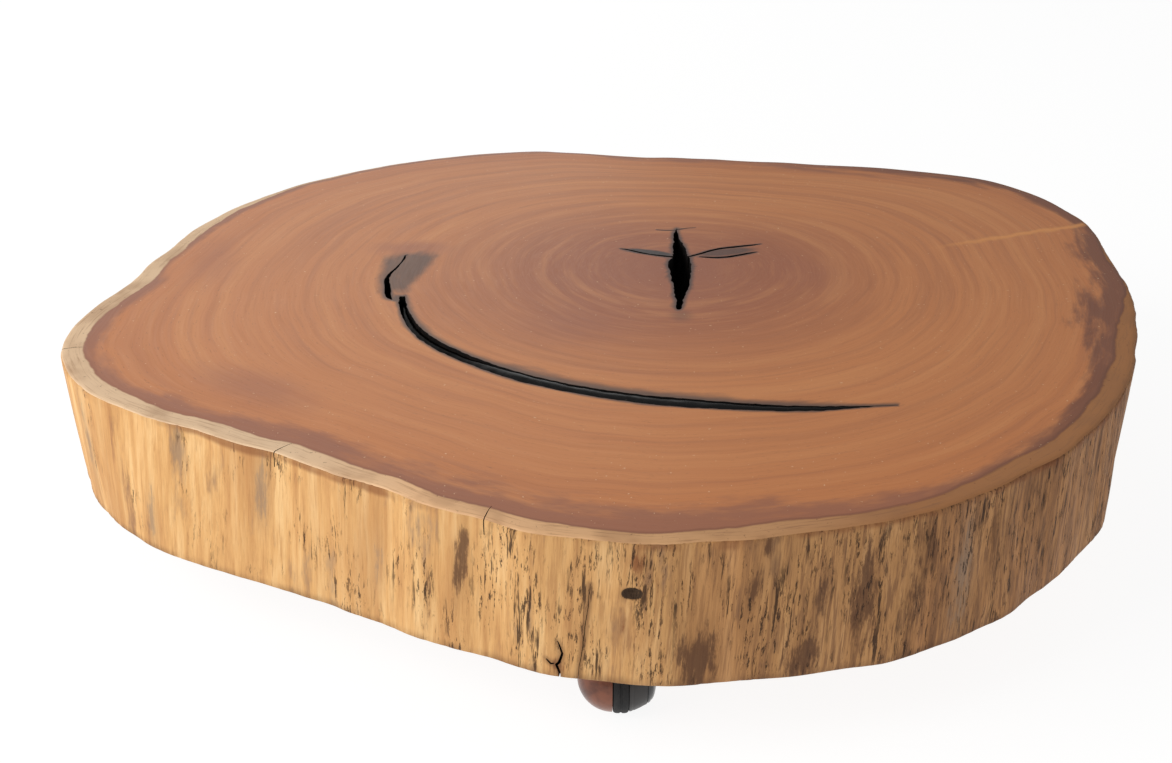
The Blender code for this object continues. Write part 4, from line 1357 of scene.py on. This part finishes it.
class BallCaster:
    """A furniture caster: a half-ball hood that swivels, and a wheel that fills the other half of the ball.

    Its sizes and profiles are in millimetres.
    """

    ball_radius = 30.0
    hood_radius = 29.0
    hood_wall = 2.4
    neck_radius = 15.0
    crown_radius = 18.0
    crown_low, crown_high = -12.2, -7.8
    crown_edge = 0.8
    tread_width = 13.0

    def __init__(self, position: str, swivel: dict, roll: dict) -> None:
        """Take the caster's axes from the frame's joints."""
        self.position = position
        low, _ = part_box("wood_slice")
        seat = Vector((swivel["pos_m"][0], swivel["pos_m"][1], low.z))
        turn = Matrix.Rotation(atan2(roll["axis"][1], roll["axis"][0]), 4, "Z")
        self.fork_place = Matrix.Translation(seat) @ turn
        self.centre = self.fork_place.inverted() @ Vector(roll["pos_m"])
        self.wheel_place = Matrix.Translation(roll["pos_m"]) @ turn @ Matrix.Rotation(pi / 2, 4, "Y")

    def turned(self, name: str, *profile: Point, steps: int = 72) -> Thing:
        """Spin a closed profile of (radius, height) points about Z."""
        deselect()
        bpy.ops.mesh.primitive_circle_add(vertices=len(profile), radius=1.0, fill_type="NOTHING")
        thing = named(name)
        move_points(thing, np.array([(radius, 0.0, height) for radius, height in profile]) * MM)
        with editing():
            bpy.ops.mesh.spin(steps=steps, angle=2 * pi, center=(0.0, 0.0, 0.0), axis=(0.0, 0.0, 1.0))
            bpy.ops.mesh.select_all(action="SELECT")
            bpy.ops.mesh.remove_doubles(threshold=0.00001)
            face_outward()
        return thing

    def dress(self, thing: Thing, kind: str, body: str, slot: Slot, place: Matrix) -> Thing:
        """Put a piece in its place, give it its finish and let it stand for its node."""
        thing.data.transform(place)
        thing.data.materials.clear()
        thing.data.materials.append(FINISHED[slot])
        smooth(thing, 32.0)
        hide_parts(f"{self.position}_caster_{kind}")
        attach(thing, f"{self.position}_{body}")
        return thing

    def ball(self, name: str, radius: float) -> Thing:
        """A ball round the wheel's centre."""
        deselect()
        bpy.ops.mesh.primitive_uv_sphere_add(
            segments=64, ring_count=32, radius=radius * MM, location=self.centre
        )
        thing = named(name)
        bpy.ops.object.transform_apply(location=True, rotation=False, scale=False)
        return thing

    def hood(self) -> Thing:
        """The cast hood with its rim, its neck, its crown and the boss of the axle."""
        low, high, outer, edge = self.crown_low, self.crown_high, self.crown_radius, self.crown_edge
        thing = self.ball(f"{self.position}_caster_hood_shell", self.hood_radius)
        foot, neck, waist = self.centre.z / MM + 10, self.neck_radius, self.neck_radius - 1.5
        cut(thing, self.turned(
            "neck", (0.0, low + 1), (neck, low + 1), (waist, low - 5), (waist, foot + 8), (neck, foot),
            (0.0, foot),
        ), "UNION")
        cut(thing, self.ball("hollow", self.hood_radius - self.hood_wall))
        take(thing)
        with editing():
            rim = (self.centre.x - 0.5 * MM, self.centre.y, self.centre.z)
            bpy.ops.mesh.bisect(plane_co=rim, plane_no=(1.0, 0.0, 0.0), use_fill=True, clear_outer=True)
        cut(thing, self.turned(
            "crown", (0.0, high), (outer - edge, high), (outer, high - edge), (outer, low + edge),
            (outer - edge, low), (0.0, low),
        ), "UNION")
        bore, pocket, seat = 3.6, 5.8, low + 1.5
        cut(thing, self.turned(
            "kingpin_hole", (0.0, high + 1), (bore, high + 1), (bore, seat), (pocket, seat),
            (pocket, low - 13), (0.0, low - 13),
        ))
        boss = self.turned("boss", (4.3, -1.1), (6.8, -1.1), (6.8, -27.8), (4.3, -27.8))
        boss.data.transform(Matrix.Translation(self.centre) @ Matrix.Rotation(pi / 2, 4, "Y"))
        cut(thing, boss, "UNION")
        return self.dress(thing, "hood", "fork", Slot.HOOD, self.fork_place)

    def tread(self) -> Thing:
        """The tyre, with a shallow groove round its middle."""
        width, radius, seat = self.tread_width, self.ball_radius, 24.3
        middle, groove, half = width / 2, radius - 0.6, 0.7
        shoulder = ((radius - 2.2, 0.0), (radius - 1.0, 0.5), (radius - 0.3, 1.6), (radius, 3.2))
        thing = self.turned(
            f"{self.position}_caster_tyre", (seat, 0.0), (seat, width),
            *((far, width - up) for far, up in shoulder),
            (radius, middle + half * 1.6), (groove, middle + half), (groove, middle - half),
            (radius, middle - half * 1.6), *reversed(shoulder), steps=96,
        )
        return self.dress(thing, "tread", "wheel", Slot.TREAD, self.wheel_place)

    def hub(self) -> Thing:
        """The hub's sleeve and its domed flange, with a bead round it and a pocket for the cap."""
        bore, sleeve, flange = 4.3, 23.8, self.tread_width + 0.3
        thing = self.turned(
            f"{self.position}_caster_wheel_hub", (bore, 0.0), (sleeve, 0.0), (sleeve, flange), (28.4, flange),
            (28.6, 14.2), (28.2, 15.6), (27.6, 16.4), (27.5, 17.6), (26.6, 19.8), (25.4, 22.4), (24.0, 25.0),
            (22.9, 27.3), (22.3, 28.0), (10.0, 28.0), (10.0, 24.5), (bore, 24.5), steps=96,
        )
        return self.dress(thing, "hub", "wheel", Slot.HUB, self.wheel_place)

    def cap(self) -> Thing:
        """The domed end cap, with a step round its rim."""
        thing = self.turned(
            f"{self.position}_caster_end_cap", (0.0, 26.9), (9.7, 26.9), (9.7, 28.3), (21.6, 28.3),
            (21.8, 28.6), (21.5, 29.6), (20.6, 30.6), (19.8, 30.8), (18.9, 32.0), (17.0, 33.2), (14.0, 34.3),
            (10.0, 35.2),
            (5.0, 35.7), (0.0, 35.8),
        )
        return self.dress(thing, "cap", "wheel", Slot.CAP, self.wheel_place)

    def build(self) -> list[Thing]:
        """Model the pieces that show.

        Returns:
            The new pieces.
        """
        return [self.hood(), self.tread(), self.hub(), self.cap()]


def dress_nodes(nodes: dict[str, Thing]) -> None:
    """Give the frame's own steel pieces their finish."""
    for name, node in nodes.items():
        if node.hide_render:
            continue
        node.data.materials.clear()
        node.data.materials.append(FINISHED[Slot.ZINC])
        LOG.info("kept node %s", name)


# The studio.


class Studio:
    """A pale floor, soft light from the left and the camera at the photograph's angle."""

    camera_place = (-0.0377, -1.4007, 0.7836)
    camera_pitch = 26.0
    lens = 46.08
    sensor = 36.0
    floor_size = 14.0
    floor_tone = 0.16
    floor_glow = 0.90
    room_glow = 0.36
    aim = Vector((0.0, 0.0, 0.15))

    def camera(self) -> None:
        """Add the camera and make it the scene's own."""
        data = bpy.data.cameras.new("camera")
        data.sensor_width = self.sensor
        data.lens = self.lens
        thing = bpy.data.objects.new("camera", data)
        thing.location = self.camera_place
        thing.rotation_euler = (radians(90.0 - self.camera_pitch), 0.0, 0.0)
        bpy.context.scene.collection.objects.link(thing)
        bpy.context.scene.camera = thing

    def floor(self) -> None:
        """Add the pale floor."""
        deselect()
        bpy.ops.mesh.primitive_plane_add(size=self.floor_size)
        thing = named("floor")
        recipe = Recipe("pale_floor")
        material = recipe.finish(
            (self.floor_tone, self.floor_tone, self.floor_tone, 1.0), 0.9, specular_ior_level=0.0,
            emission_color=(1.0, 1.0, 1.0, 1.0), emission_strength=self.floor_glow,
        )
        thing.data.materials.append(material)

    def area(self, name: str, place: Vector, size: float, power: float, colour: Sequence[float]) -> None:
        """Add a square light that faces the table."""
        data = bpy.data.lights.new(name, "AREA")
        data.size = size
        data.energy = power
        data.color = colour
        thing = bpy.data.objects.new(name, data)
        thing.location = place
        thing.rotation_euler = (self.aim - place).to_track_quat("-Z", "Y").to_euler()
        bpy.context.scene.collection.objects.link(thing)

    def build(self) -> None:
        """Set up camera, floor, lights and the way that colours are shown."""
        self.camera()
        self.floor()
        self.area("key_light", Vector((-2.6, -1.3, 1.9)), 2.2, 78.0, (1.0, 0.985, 0.96))
        self.area("back_light", Vector((-0.8, 2.8, 1.3)), 2.0, 9.0, (1.0, 0.99, 0.98))
        world = bpy.data.worlds.new("studio")
        world.use_nodes = True
        background = world.node_tree.nodes["Background"]
        background.inputs["Color"].default_value = (1.0, 1.0, 1.0, 1.0)
        background.inputs["Strength"].default_value = self.room_glow
        bpy.context.scene.world = world
        bpy.context.scene.view_settings.view_transform = "Standard"
        bpy.context.scene.view_settings.look = "None"
        bpy.context.scene.view_settings.exposure = 0.0


def main() -> None:
    """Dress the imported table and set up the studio."""
    logging.basicConfig(level=logging.INFO, format="%(name)s: %(message)s")
    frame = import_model()
    Studio().build()
    for slot, enamel in ENAMELS.items():
        FINISHED[slot] = enamel.build()
    nodes = frame["nodes"]
    pieces = [WoodSlice(nodes["wood_slice"]).build(), ResinFill(nodes["shake_resin"]).build()]
    joints = {joint["name"]: joint for joint in frame["joints"]}
    for position in ("front", "right", "back", "left"):
        pieces += BallCaster(position, joints[f"{position}_swivel"], joints[f"{position}_roll"]).build()
    dress_nodes(nodes)
    for piece in pieces:
        LOG.info("built %s with %d faces", piece.name, len(piece.data.polygons))


if __name__ == "__main__":
    main()
